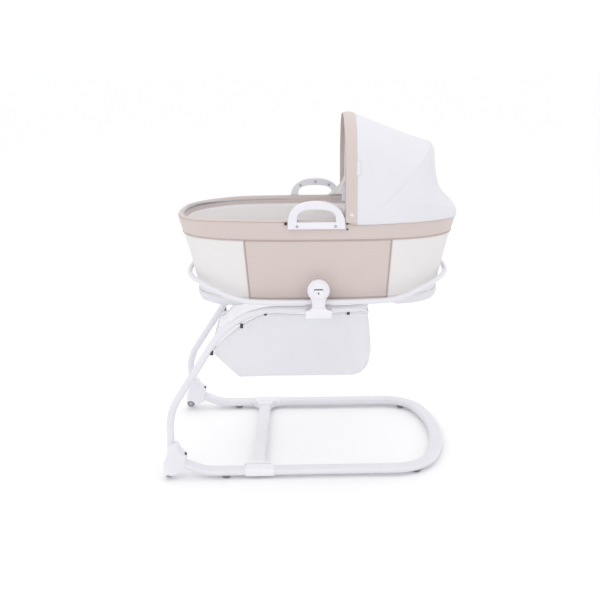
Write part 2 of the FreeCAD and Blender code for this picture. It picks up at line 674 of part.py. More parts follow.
# ------------------------------------------------------------------ curves in space
def arc_wire(pts, closed=True, k=0.98):
    """Straight runs joined by tangent arcs through the corner points."""
    n = len(pts)
    idx = range(n) if closed else range(1, n - 1)
    T = {}
    for i in idx:
        a, p, c = pts[(i - 1) % n], pts[i], pts[(i + 1) % n]
        T[i] = min((a - p).Length, (c - p).Length) * 0.5 * k
    edges = []
    prev = None
    first = None
    for i in idx:
        a, p, c = pts[(i - 1) % n], pts[i], pts[(i + 1) % n]
        u = (a - p).normalize(); w = (c - p).normalize()
        t = T[i]
        p1 = p + u * t; p2 = p + w * t
        ang = u.getAngle(w)
        if prev is None and not closed:
            prev = pts[0]
        if prev is not None:
            edges.append(Part.LineSegment(prev, p1).toShape())
        else:
            first = p1
        if math.pi - ang > 1e-3:
            r = t * math.tan(ang / 2)
            cc = p + (u + w).normalize() * (r / math.sin(ang / 2))
            mid = cc + (p - cc).normalize() * r
            edges.append(Part.Arc(p1, mid, p2).toShape())
        else:
            edges.append(Part.LineSegment(p1, p2).toShape())
        prev = p2
    edges.append(Part.LineSegment(prev, first if closed else pts[-1]).toShape())
    return Part.Wire(edges)


def tube(wire, r):
    e = wire.Edges[0]
    p = e.valueAt(e.FirstParameter); d = e.tangentAt(e.FirstParameter)
    c = Part.Wire(Part.Edge(Part.Circle(p, d, r)))
    sh = wire.makePipeShell([c], True, False)
    if sh.ShapeType != "Solid":
        sh = Part.Solid(sh) if sh.ShapeType == "Shell" else sh.Solids[0]
    if sh.Volume < 0:
        sh.reverse()
    return sh


def superell(a, bb, n, t):
    c, s_ = math.cos(t), math.sin(t)
    return (a * math.copysign(abs(c) ** (2.0 / n), c), bb * math.copysign(abs(s_) ** (2.0 / n), s_))


def even_superell(a, bb, n, count, phase=0.0):
    """Points spaced evenly along a rounded plan outline, starting at +X."""
    m = 4000
    P = [superell(a, bb, n, 2 * math.pi * i / m) for i in range(m + 1)]
    L = [0.0]
    for i in range(m):
        L.append(L[-1] + math.hypot(P[i + 1][0] - P[i][0], P[i + 1][1] - P[i][1]))
    out = []
    j = 0
    for k in range(count):
        s0 = L[-1] * ((k + phase) / count)
        while L[j + 1] < s0:
            j += 1
        f = (s0 - L[j]) / max(1e-9, L[j + 1] - L[j])
        out.append((P[j][0] + f * (P[j + 1][0] - P[j][0]), P[j][1] + f * (P[j + 1][1] - P[j][1])))
    return out


def lerp(tab, x):
    if x <= tab[0][0]:
        return tab[0][1]
    for (x0, y0), (x1, y1) in zip(tab, tab[1:]):
        if x <= x1:
            return y0 + (y1 - y0) * (x - x0) / (x1 - x0)
    return tab[-1][1]


RISE = [(0, 0), (200, 0), (225, 0.03), (246, 0.10), (275, 0.30), (303, 0.52), (338, 0.76), (370, 0.93), (397, 1.0)]


def cradle_point(x, y):
    return V(x, y, D["CradleZ"] + D["CradleRise"] * lerp(RISE, abs(x)))


cp = [cradle_point(*q) for q in even_superell(D["CradleHalfLong"], D["CradleHalfWide"], 3.0, 44, 0.5)]
loop = tube(arc_wire(cp), D["CradleDia"] / 2)

# ears that stand on the loop and turn on the hub pins, with keyed spigots towards the bassinet
for side, sg in (("near", -1), ("far", 1)):
    y0, y1 = 219.0, 226.0
    outl = []
    for i in range(17):
        t = math.radians(-10) + math.radians(200) * i / 16
        outl.append((18 * math.cos(t), 18 * math.sin(t)))
    outl += [(-26, -40.5), (26, -40.5)]
    w = Part.makePolygon([V(q[0], sg * y0, zh + q[1]) for q in outl] + [V(outl[0][0], sg * y0, zh + outl[0][1])])
    ear = Part.Face(w).extrude(V(0, sg * (y1 - y0), 0))
    spig = Part.makeBox(30, 13.2, 10, V(-15, min(sg * y0, sg * (y0 - 13.2)), zh + 5.2))
    ear = ear.fuse(spig)
    ear = ear.cut(cyl(D["PinDia"] / 2 + 0.05, 60, (0, sg * 190, zh), (0, sg, 0)))
    ear = ear.cut(loop).removeSplitter()
    if len(ear.Solids) > 1:
        ear = max(ear.Solids, key=lambda q: q.Volume)
    feature("cradle_ear_" + side, ear)
feature("cradle_rail", loop)

# ------------------------------------------------------------------ bassinet body
A_TAB = [(508, 335), (510, 347), (514, 357), (520, 364), (530, 367.5), (548, 369.5), (584, 376.5), (622, 384), (665, 394),
         (695, 401.8), (722, 410), (745, 415), (765, 419.5), (785, 422.5)]
B_EDGE = [(508, 34), (510, 22), (514, 12.5), (520, 6), (530, 1.8), (548, 0), (800, 0)]


def half_long(z):
    return lerp(A_TAB, z) * D["RimHalfLong"] / 422.0


def half_wide(z):
    return D["RimHalfWide"] - D["SideTaper"] * (D["RimTop"] - z) - lerp(B_EDGE, z)


def ring_wire(z, inset, count=40):
    pts = [V(q[0], q[1], z) for q in even_superell(half_long(z) - inset, half_wide(z) - inset, 3.0, count)]
    c = Part.BSplineCurve()
    c.interpolate(pts, PeriodicFlag=True)
    return Part.Wire(c.toShape())


def shell_solid(z0, z1, inset, levels=None):
    zs = sorted(set([z0, z1] + [z for z in (levels or [510, 514, 520, 530, 548, 584, 622, 665, 695, 722, 745, 765]) if z0 < z < z1]))
    sh = Part.makeLoft([ring_wire(z, inset) for z in zs], True, False)
    if sh.Volume < 0:
        sh.reverse()
    return sh


def prism_xz(pts, y0, y1):
    w = Part.makePolygon([V(q[0], y0, q[1]) for q in pts] + [V(pts[0][0], y0, pts[0][1])])
    return Part.Face(w).extrude(V(0, y1 - y0, 0))


low, band = D["PanelLow"], D["BandLow"]
t1 = D["SkinThick"]
rimtop = D["RimTop"]

# side and end panels of the outer skin
skin = shell_solid(low + 0.3, band - 0.3, 0).cut(shell_solid(low - 1, band + 1, t1))
ph = D["PanelHalf"]
mid_prism = [(-(ph - 4), low - 5), (ph - 4, low - 5), (ph + 8, band + 5), (-(ph + 8), band + 5)]
near_cut = prism_xz(mid_prism, -400, 0)
far_cut = prism_xz(mid_prism, 0, 400)
sn = skin.common(near_cut)
sf = skin.common(far_cut)
both = prism_xz([(-(ph - 3.8), low - 5), (ph - 3.8, low - 5), (ph + 8.2, band + 5), (-(ph + 8.2), band + 5)], -400, 400)
ends = skin.cut(both)
feature("side_panel_near", sn.Solids[0])
feature("side_panel_far", sf.Solids[0])
es = sorted(ends.Solids, key=lambda q: q.CenterOfMass.x)
feature("end_panel_foot", es[0])
feature("end_panel_head", es[-1])

# bottom tray with rounded ends; its middle is raised between the stand's top tubes
bm, be = D["BottomMid"], D["BottomEnd"]
def bottom_curve(dz):
    pts = []
    for x in range(-420, 421, 10):
        ax = abs(x)
        f = 0.0 if ax < 190 else (1.0 if ax > 250 else 0.5 - 0.5 * math.cos(math.pi * (ax - 190) / 60.0))
        pts.append((x, bm + (be - bm) * f + dz))
    return pts
below = bottom_curve(0)
cutter = prism_xz(below + [(420, 480), (-420, 480)], -400, 400)
below2 = bottom_curve(t1)
cutter2 = prism_xz(below2 + [(420, 480), (-420, 480)], -400, 400)
tray_out = shell_solid(be, low, 0).cut(cutter)
tray_in = shell_solid(be, low + 3, t1).cut(cutter2)
tray = tray_out.cut(tray_in)
tray = max(tray.Solids, key=lambda q: q.Volume)
feature("bottom_tray", tray)

# stiff board and mattress
def plan_slab(name, z, t, inset, round_r=0.0):
    a = half_long(z) - inset; bb = half_wide(z) - inset
    pts = [V(q[0], q[1], z) for q in even_superell(a, bb, 3.0, 40)]
    c = Part.BSplineCurve(); c.interpolate(pts, PeriodicFlag=True)
    f = Part.Face(Part.Wire(c.toShape()))
    sh = f.extrude(V(0, 0, t))
    if round_r:
        try:
            s2 = sh.makeFillet(round_r, [e for e in sh.Edges if e.BoundBox.ZLength < 0.01])
            if s2.isValid():
                sh = s2
        except Exception as err:
            print("no rounding on", name, err)
    feature(name, sh)


plan_slab("base_board", D["BoardZ"], D["BoardThick"], 6.2)
plan_slab("mattress", D["BoardZ"] + D["BoardThick"] + 0.5, D["MattressThick"], 18, 9)

# inner liner
lin = shell_solid(D["BoardZ"] + D["BoardThick"] + 0.5, band + 1, 6).cut(shell_solid(D["BoardZ"] - 4, band + 6, 8))
feature("inner_liner", lin)

# side stays between skin and liner
g1 = shell_solid(D["BoardZ"] - 3, band + 34, 3.5).cut(shell_solid(D["BoardZ"] - 6, band + 40, 5.6))
stays = []
for x in (-212, 212):
    for sg in (-1, 1):
        s3 = g1.common(Part.makeBox(16, 300, 400, V(x - 8, -300 if sg < 0 else 0, 500)))
        stays += s3.Solids
rim_r = D["RimTubeDia"] / 2
zt = rimtop - 13
rt = tube(arc_wire([V(q[0], q[1], zt) for q in even_superell(half_long(zt) - 8.5, half_wide(zt) - 8.5, 3.0, 40, 0.5)]), rim_r)
stays = [q.cut(rt) for q in stays]
stays = [max(q.Solids, key=lambda w: w.Volume) for q in stays]
compound("side_stays", stays)
RIM_TUBE = rt

# padded rim band round the frame tube
bandsol = shell_solid(band, rimtop, -1.5).cut(shell_solid(band - 5, rimtop + 5, 14))
slotc = shell_solid(band - 5, rimtop - 20, 3.4).cut(shell_solid(band - 8, rimtop - 18, 8.6))
bandsol = bandsol.cut(slotc)
rt2 = tube(arc_wire([V(q[0], q[1], zt) for q in even_superell(half_long(zt) - 8.5, half_wide(zt) - 8.5, 3.0, 40, 0.5)]), rim_r)
bandsol = bandsol.cut(rt2)
FINAL_BAND = bandsol

# ------------------------------------------------------------------ carry handles
hw2, ht, hz, gr = D["HandleWide"] / 2, D["HandleTall"], D["HandleLow"], D["HandleGrip"]


def dee(w, z0, z1, n=24, p=2.35):
    pts = [(-w, z0), (w, z0)]
    for i in range(n + 1):
        t = math.pi * i / n
        c, s_ = math.cos(t), math.sin(t)
        pts.append((w * math.copysign(abs(c) ** (2.0 / p), c), z0 + 10 + (z1 - z0 - 10) * abs(s_) ** (2.0 / p)))
    return [(q[0] + D["HandleX"], q[1]) for q in pts]


outer_d = dee(hw2, hz, hz + ht)
inner_d = dee(hw2 - 27, hz + 20, hz + ht - gr, p=2.6)
inner_d[2] = (hw2 - 27 + D["HandleX"], hz + 21)
hs = []
for side, sg in (("near", -1), ("far", 1)):
    def slab(outl, y0, y1):
        a, c = sorted((sg * y0, sg * y1))
        return prism_xz(outl, a, c)
    zr = rimtop + 1.5
    full = slab(outer_d, 218.3, 227.0).cut(slab(inner_d, 210, 235))
    back = slab(outer_d, 206.0, 218.0).cut(slab(inner_d, 200, 235)).cut(Part.makeBox(400, 600, 100, V(-200, -300, zr - 100)))
    inner = back.removeSplitter()
    try:
        es = [e for e in full.Edges if abs(abs(e.CenterOfMass.y) - 227.0) < 0.05]
        f2 = full.makeFillet(2.2, es)
        if f2.isValid() and len(f2.Solids) == 1:
            full = f2
    except Exception as err:
        print("handle rounding left out", err)
    # the lower screws stop at the outside of the frame tube
    ys = half_wide(zt) - 8.5 + rim_r + 0.6
    for x, z in ((-60, hz + 8.5), (50, hz + 8.5)):
        head = cyl(4.2, 1.8, (x, sg * 225.8, z), (0, sg, 0))
        shank = cyl(2.0, 227 - ys, (x, sg * ys, z), (0, sg, 0))
        hs.append(head.fuse(shank).removeSplitter())
    for x, z in ((-53, hz + 56), (-4, hz + 68), (41, hz + 58)):
        head = cyl(3.8, 1.8, (x, sg * 205.6, z), (0, sg, 0))
        shank = cyl(1.8, 14, (x, sg * 206.5, z), (0, sg, 0))
        hs.append(head.fuse(shank).removeSplitter())
    for q in hs:
        full = full.cut(q)
        inner = inner.cut(q)
    if len(inner.Solids) > 1:
        print("inner handle solids", len(inner.Solids))
    feature("handle_outer_" + side, full.removeSplitter())
    feature("handle_inner_" + side, inner)
compound("handle_screws", hs)
feature("rim_frame_tube", RIM_TUBE)
for q in hs:
    FINAL_BAND = FINAL_BAND.cut(q)

# small studs on the rim band
studs = []
for sg in (-1, 1):
    for x, z, r in ((-92.5, 773, 4.5), (84, 773, 3.6), (84, 755, 2.6)):
        yb = half_wide(z) + 1.5 - 1.0
        studs.append(cyl(r, 3.6, (x, sg * yb, z), (0, sg, 0)))
for q in studs:
    FINAL_BAND = FINAL_BAND.cut(q)
if len(FINAL_BAND.Solids) > 1:
    print("band solids", len(FINAL_BAND.Solids), [round(q.Volume) for q in FINAL_BAND.Solids])
    FINAL_BAND = max(FINAL_BAND.Solids, key=lambda q: q.Volume)
compound("rim_studs", studs)

# hook plates on the bassinet's sides that drop over the keyed spigots
for side, sg in (("near", -1), ("far", 1)):
    y0, y1 = half_wide(zh + 30) + 0.5, 217.5
    blk = Part.makeBox(40, y1 - y0, 40, V(-20, min(sg * y0, sg * y1), zh - 20))
    slotb = Part.makeBox(30.6, 40, 41.6, V(-15.3, min(sg * (y1 - 30), sg * (y1 + 10)), zh - 26))
    blk = blk.cut(slotb)
    feature("bassinet_hook_" + side, blk)

# ------------------------------------------------------------------ hood
hx, hzp = D["HoodPivotX"], D["HoodPivotZ"]
for side, sg in (("near", -1), ("far", 1)):
    base = Part.makeBox(30, 12, 26, V(hx - 15, min(sg * 191.5, sg * 203.5), hzp - 12.5))
    clip = Part.makeBox(26, 5.5, 22, V(hx - 13, min(sg * 193.5, sg * 199.0), hzp - 34.5))
    pv = base.fuse(clip).fuse(cyl(3, 22, (hx, sg * 202, hzp), (0, sg, 0)))
    pv = pv.fuse(cyl(5.5, 2.0, (hx, sg * 221.0, hzp), (0, sg, 0))).removeSplitter()
    feature("hood_pivot_" + side, pv)
for side, sg in (("near", -1), ("far", 1)):
    FINAL_BAND = FINAL_BAND.cut(Part.makeBox(31, 13, 12, V(hx - 15.5, min(sg * 191, sg * 204), hzp - 13)))
    FINAL_BAND = FINAL_BAND.cut(Part.makeBox(27, 6.5, 40, V(hx - 13.5, min(sg * 193, sg * 199.5), hzp - 45)))
if len(FINAL_BAND.Solids) > 1:
    print("band solids", len(FINAL_BAND.Solids), [round(q.Volume) for q in FINAL_BAND.Solids])
    FINAL_BAND = max(FINAL_BAND.Solids, key=lambda q: q.Volume)
feature("rim_band", FINAL_BAND)


def in_plane(r, y, deg):
    a = math.radians(deg)
    return V(hx + r * math.cos(a), y, hzp + r * math.sin(a))


def bow(R, half, deg, yeye, n=2.5, count=25):
    """An arch in the plane through the hinge axis, from eye to eye."""
    pts = [in_plane(12, -yeye, deg), in_plane(22, -yeye, deg)]
    m = 2000
    arc = []
    for i in range(m + 1):
        t = math.pi * i / m
        c, s_ = math.cos(t), math.sin(t)
        arc.append((half * -math.copysign(abs(c) ** (2.0 / n), c), 34 + (R - 34) * abs(s_) ** (2.0 / n)))
    L = [0.0]
    for i in range(m):
        L.append(L[-1] + math.hypot(arc[i + 1][0] - arc[i][0], arc[i + 1][1] - arc[i][1]))
    j = 0
    for k in range(count):
        s0 = L[-1] * k / (count - 1)
        while j < m - 1 and L[j + 1] < s0:
            j += 1
        f = (s0 - L[j]) / max(1e-9, L[j + 1] - L[j])
        pts.append(in_plane(arc[j][1] + f * (arc[j + 1][1] - arc[j][1]), arc[j][0] + f * (arc[j + 1][0] - arc[j][0]), deg))
    pts += [in_plane(22, yeye, deg), in_plane(12, yeye, deg)]
    return pts


def bow_solid(R, half, deg, yeye, t_eye):
    tb = tube(arc_wire(bow(R, half, deg, yeye), closed=False), D["HoodBowDia"] / 2)
    parts = [tb]
    for sg in (-1, 1):
        eye = cyl(8, t_eye, (hx, sg * (yeye - t_eye / 2), hzp), (0, sg, 0))
        neck = Part.makeCylinder(D["HoodBowDia"] / 2 - 0.3, 10, in_plane(4.5, sg * yeye, deg), in_plane(1, 0, deg) - in_plane(0, 0, deg))
        parts += [eye, neck]
    sh = parts[0].fuse(parts[1:])
    sh = sh.cut(cyl(3.05, 600, (hx, -300, hzp), (0, 1, 0)))
    sh = sh.removeSplitter()
    return max(sh.Solids, key=lambda q: q.Volume)


md = D["HoodMidDeg"]
feature("hood_front_bow", bow_solid(D["HoodFrontRad"] - 6, 205, 90, 216.3, 5))
feature("hood_mid_bow", bow_solid(D["HoodMidRad"] - 10, 204.5, md, 208.0, 5))


def arch_wire(R, half, deg, n, t=3.0, r0=45, count=19):
    """Closed thin profile of the canopy in the plane at this angle."""
    def run(Ro, ho):
        pts = []
        m = 800
        arc = []
        for i in range(m + 1):
            u = math.pi * i / m
            c, s_ = math.cos(u), math.sin(u)
            arc.append((-ho * math.copysign(abs(c) ** (2.0 / n), c), r0 + (Ro - r0) * abs(s_) ** (2.0 / n)))
        L = [0.0]
        for i in range(m):
            L.append(L[-1] + math.hypot(arc[i + 1][0] - arc[i][0], arc[i + 1][1] - arc[i][1]))
        j = 0
        for k in range(count):
            s0 = L[-1] * k / (count - 1)
            while j < m - 1 and L[j + 1] < s0:
                j += 1
            f = (s0 - L[j]) / max(1e-9, L[j + 1] - L[j])
            pts.append(in_plane(arc[j][1] + f * (arc[j + 1][1] - arc[j][1]), arc[j][0] + f * (arc[j + 1][0] - arc[j][0]), deg))
        return pts
    a = run(R, half)
    c = run(R - t, half - t)
    s1 = Part.BSplineCurve(); s1.interpolate(a)
    s2 = Part.BSplineCurve(); s2.interpolate(list(reversed(c)))
    return Part.Wire([s1.toShape(), Part.LineSegment(a[-1], c[-1]).toShape(), s2.toShape(), Part.LineSegment(c[0], a[0]).toShape()])


def canopy(name, secs):
    sh = Part.makeLoft([arch_wire(*q) for q in secs], True, False)
    if sh.Volume < 0:
        sh.reverse()
    print(name, sh.isValid(), round(sh.Volume), len(sh.Solids))
    feature(name, sh)


Rf, Rm = D["HoodFrontRad"] + 2, D["HoodMidRad"] + 2


def chord(R1, d1, R2, d2, d, sag=0.0):
    """Radius at angle d of the straight line between two bow tops."""
    a1, a2, a = map(math.radians, (d1, d2, d))
    x1, z1, x2, z2 = R1 * math.cos(a1), R1 * math.sin(a1), R2 * math.cos(a2), R2 * math.sin(a2)
    den = (x2 - x1) * math.sin(a) - (z2 - z1) * math.cos(a)
    return (z1 * (x2 - x1) - x1 * (z2 - z1)) / den - sag


HW = 213.0
canopy("hood_canopy_front", [(Rf, HW, 83.0, 2.5), (chord(Rf, 90, Rm, md, 71), HW, 71, 2.55), (chord(Rf, 90, Rm, md, 54), HW, 54, 2.6), (Rm - 3, HW, md + 1.5, 2.7)])
canopy("hood_canopy_rear", [(Rm - 3, HW, md - 1.5, 2.7), (286, HW, 27, 2.7), (277, HW, 17.6, 2.75), (281, HW, 10, 2.8), (300, HW, 4, 2.9), (324, HW - 1, 0.5, 3.0)])
canopy("hood_hem_band", [(Rf + 0.5, HW + 1, 94.0, 2.5), (Rf + 0.5, HW + 1, 90.0, 2.5), (Rf, HW + 0.5, 83.4, 2.5)])
# the tag follows the arch's lean at its height
def half_at(h, R, half, n=2.5):
    q = min(1.0, max(0.0, (h - 30) / (R - 30)))
    return half * (1 - q ** n) ** (1.0 / n)
z0t, z1t = 110.0, 150.0
ya, yb = half_at(z0t, Rf, HW), half_at(z1t, Rf, HW)
lean = math.degrees(math.atan2(ya - yb, z1t - z0t))
tag = Part.makeBox(14, 0.8, 40, V(0, -0.8, 0))
tag.Placement = Placement(V(hx + 18, -ya - 3.4, hzp + z0t), Rotation(V(1, 0, 0), -lean))
feature("hood_tag", tag)

# ------------------------------------------------------------------ storage basket
fz, fh, bh = D["BasketFloorZ"], D["BasketFloorHalf"], D["BasketTopHalf"]
zt = 497.0


def basket(inset, raise_top):
    i = inset
    top = zt + raise_top
    side = [(-244 + i * 1.2, fz + i), (100 - i * 0.6, fz + i), (138 - i, 300 + i * 0.4), (158 - i, 340), (156 - i, 380), (148 - i, top)]
    if raise_top:
        side += [(-400, top), (-400, 470), (-332 + i * 1.3, 381)]
    else:
        side += [(-172, top), (-205, 484), (-248, 455), (-293, 412), (-332 + i * 1.3, 376)]
    A = prism_xz(side, -300, 300)
    tp = zt + raise_top + 10
    hb = bh + (bh - fh) * (tp - zt) / (zt - fz)
    w = Part.makePolygon([V(-500, -(fh - i), fz + i), V(-500, fh - i, fz + i), V(-500, hb - i, tp), V(-500, -(hb - i), tp), V(-500, -(fh - i), fz + i)])
    B = Part.Face(w).extrude(V(800, 0, 0))
    return A.common(B)


bk = basket(0, 0).cut(basket(2.2, 60))
bk = bk.removeSplitter()
print("basket", bk.isValid(), len(bk.Solids))
feature("storage_basket", bk.Solids[0])

snaps = []
for sg in (-1, 1):
    for x, z in ((-318, 381), (-228, 461), (-157, 498.5), (88, 498)):
        w = D["RailHalf"] - D["LeanTan"] * (z - 30.0)
        # tab from the fabric's edge to the tube, with a domed stud
        tab = Part.makeBox(12, 10, 3, V(x - 6, min(sg * (w - 17), sg * (w - 7)), z - 3))
        st_ = cyl(4.5, 4, (x, sg * (w - 4), z - 3.0), (0, sg * 0.5, -0.87))
        snaps.append((x, z, w, sg))
snap_solids = []
tubes_all = [shape_of("upright_tube_near"), shape_of("upright_tube_far"), shape_of("stand_top_tube")]
for x, z, w, sg in snaps:
    d = V(0, sg * 0.42, -0.91)
    c0 = V(x, sg * w, z + 10)
    st_ = Part.makeCylinder(4.5, 14, c0, d)
    for tb in tubes_all:
        st_ = st_.cut(tb)
    so = sorted(st_.Solids, key=lambda q: (q.CenterOfMass - c0).dot(d))
    snap_solids.append(so[-1])
compound("basket_snap_studs", snap_solids)

# ------------------------------------------------------------------ check and export
doc.recompute()
bad = []
for o in doc.Objects:
    st_ = list(o.State)
    if "Invalid" in st_ or "Error" in st_:
        bad.append((o.Name, st_))
for k, o in FINAL.items():
    if o.Shape.isNull() or not o.Shape.isValid() or not o.Shape.Solids:
        bad.append((k, "shape"))
print("bad", bad)
assert not bad, bad
os.makedirs("parts", exist_ok=True)
for f in os.listdir("parts"):
    if f.endswith(".step"):
        os.remove(os.path.join("parts", f))
lo = V(1e9, 1e9, 1e9); hi = V(-1e9, -1e9, -1e9)
for k, o in FINAL.items():
    o.Shape.exportStep("parts/%s.step" % k)
    bb = o.Shape.optimalBoundingBox(False, False)
    lo = V(min(lo.x, bb.XMin), min(lo.y, bb.YMin), min(lo.z, bb.ZMin))
    hi = V(max(hi.x, bb.XMax), max(hi.y, bb.YMax), max(hi.z, bb.ZMax))
print(len(FINAL), "nodes; box", [round(q, 2) for q in (lo.x, lo.y, lo.z, hi.x, hi.y, hi.z)])
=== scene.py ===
import json
import math

import bpy
import numpy as np
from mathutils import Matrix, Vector, noise


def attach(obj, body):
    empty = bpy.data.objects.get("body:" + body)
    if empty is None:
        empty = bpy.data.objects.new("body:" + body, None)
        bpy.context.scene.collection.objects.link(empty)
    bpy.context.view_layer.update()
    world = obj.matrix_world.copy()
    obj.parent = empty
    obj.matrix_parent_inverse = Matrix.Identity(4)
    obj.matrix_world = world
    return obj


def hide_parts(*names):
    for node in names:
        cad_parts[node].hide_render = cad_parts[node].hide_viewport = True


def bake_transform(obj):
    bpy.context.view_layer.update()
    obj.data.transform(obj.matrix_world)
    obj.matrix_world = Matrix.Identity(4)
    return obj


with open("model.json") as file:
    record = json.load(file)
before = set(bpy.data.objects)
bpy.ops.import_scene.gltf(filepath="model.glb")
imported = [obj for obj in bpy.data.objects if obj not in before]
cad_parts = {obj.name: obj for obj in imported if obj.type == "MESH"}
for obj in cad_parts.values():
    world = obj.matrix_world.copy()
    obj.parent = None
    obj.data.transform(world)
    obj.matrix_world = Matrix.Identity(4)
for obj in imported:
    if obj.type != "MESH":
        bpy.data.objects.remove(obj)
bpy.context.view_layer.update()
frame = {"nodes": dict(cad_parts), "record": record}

HS = 0.0241          # the hub line along X in the row frame
MM = 0.001
scene = bpy.context.scene


# ------------------------------------------------------------------ materials
class Nodes:
    """Short names for building a node material."""

    def __init__(self, name):
        self.mat = bpy.data.materials.new(name)
        self.mat.use_nodes = True
        self.t = self.mat.node_tree
        self.t.nodes.clear()
        self.out = self.t.nodes.new("ShaderNodeOutputMaterial")
        self.bsdf = self.t.nodes.new("ShaderNodeBsdfPrincipled")
        self.link(self.bsdf.outputs[0], self.out.inputs["Surface"])

    def new(self, kind, **props):
        n = self.t.nodes.new(kind)
        for k, v in props.items():
            setattr(n, k, v)
        return n

    def link(self, a, b):
        self.t.links.new(a, b)

    def val(self, socket, v):
        if hasattr(v, "is_output"):
            self.link(v, socket)
        else:
            socket.default_value = v

    def math(self, op, a, b=0.0, c=0.0, clamp=False):
        n = self.new("ShaderNodeMath", operation=op, use_clamp=clamp)
        self.val(n.inputs[0], a)
        self.val(n.inputs[1], b)
        self.val(n.inputs[2], c)
        return n.outputs[0]

    def mix(self, f, a, b):
        n = self.new("ShaderNodeMix", data_type="RGBA")
        self.val(n.inputs["Factor"], f)
        self.val([s for s in n.inputs if s.name == "A" and s.type == "RGBA"][0], a)
        self.val([s for s in n.inputs if s.name == "B" and s.type == "RGBA"][0], b)
        return [s for s in n.outputs if s.type == "RGBA"][0]

    def noise(self, coord, scale, detail=3.0, rough=0.55):
        n = self.new("ShaderNodeTexNoise")
        self.link(coord, n.inputs["Vector"])
        n.inputs["Scale"].default_value = scale
        n.inputs["Detail"].default_value = detail
        n.inputs["Roughness"].default_value = rough
        return n.outputs["Fac"]

    def obj(self):
        return self.new("ShaderNodeTexCoord").outputs["Object"]

    def uv(self):
        n = self.new("ShaderNodeUVMap", uv_map="cloth")
        return n.outputs[0]

    def ramp(self, f, stops):
        n = self.new("ShaderNodeValToRGB")
        self.link(f, n.inputs[0])
        e = n.color_ramp.elements
        e[0].position, e[0].color = stops[0]
        e[1].position, e[1].color = stops[-1]
        for p, c in stops[1:-1]:
            q = e.new(p)
            q.color = c
        return n.outputs[0]

    def bump(self, h, strength, dist, normal=None):
        n = self.new("ShaderNodeBump")
        n.inputs["Strength"].default_value = strength
        n.inputs["Distance"].default_value = dist
        self.link(h, n.inputs["Height"])
        if normal is not None:
            self.link(normal, n.inputs["Normal"])
        return n.outputs[0]

    def set(self, **kw):
        for k, v in kw.items():
            self.val(self.bsdf.inputs[k], v)
        return self.mat


def rgb(r, g, b, a=1.0):
    """sRGB 0-255 to linear."""
    def f(c):
        c /= 255.0
        return c / 12.92 if c <= 0.04045 else ((c + 0.055) / 1.055) ** 2.4
    return (f(r), f(g), f(b), a)


def weave_height(m, uvsock, pitch):
    """Over-and-under yarns, from the cloth's own flat coordinates in metres."""
    s = m.new("ShaderNodeSeparateXYZ")
    m.link(uvsock, s.inputs[0])
    k = 2 * math.pi / pitch
    a = m.math("SINE", m.math("MULTIPLY", s.outputs[0], k))
    b = m.math("SINE", m.math("MULTIPLY", s.outputs[1], k))
    a2 = m.math("ABSOLUTE", m.math("SINE", m.math("MULTIPLY", s.outputs[0], k / 2)))
    b2 = m.math("ABSOLUTE", m.math("SINE", m.math("MULTIPLY", s.outputs[1], k / 2)))
    return m.math("MULTIPLY_ADD", m.math("MULTIPLY", a, b), 0.5, m.math("MULTIPLY", m.math("ADD", a2, b2), 0.5)), s


def beige_material():
    m = Nodes("beige_dotted_cotton")
    uv = m.uv()
    h, s = weave_height(m, uv, 0.0011)
    # rows of small woven dots set on a diagonal grid
    p = 0.0090
    k = 2 * math.pi / p
    d1 = m.math("COSINE", m.math("MULTIPLY", s.outputs[0], k))
    d2 = m.math("COSINE", m.math("MULTIPLY", s.outputs[1], k))
    dots = m.math("MULTIPLY", d1, d2)
    dotmask = m.math("SMOOTH_MIN", m.math("MULTIPLY", m.math("SUBTRACT", dots, 0.34), 3.4, clamp=True), 1.0, 0.1)
    ob = m.obj()
    big = m.noise(ob, 7.0, 2.0)
    fine = m.noise(ob, 420.0, 2.0)
    base = m.mix(big, rgb(204, 191, 187), rgb(211, 198, 194))
    base = m.mix(m.math("MULTIPLY", fine, 0.35), base, rgb(194, 180, 175))
    col = m.mix(m.math("MULTIPLY", dotmask, 0.42), base, rgb(240, 232, 228))
    hh = m.math("MULTIPLY_ADD", dotmask, 0.5, h)
    n = m.bump(hh, 0.35, 0.0003)
    n = m.bump(m.noise(ob, 26.0, 3.0), 0.12, 0.004, n)
    m.set(**{"Base Color": col, "Roughness": m.math("MULTIPLY_ADD", fine, 0.15, 0.78), "Normal": n, "Sheen Weight": 0.25, "Sheen Roughness": 0.5,
             "Specular IOR Level": 0.2})
    return m.mat


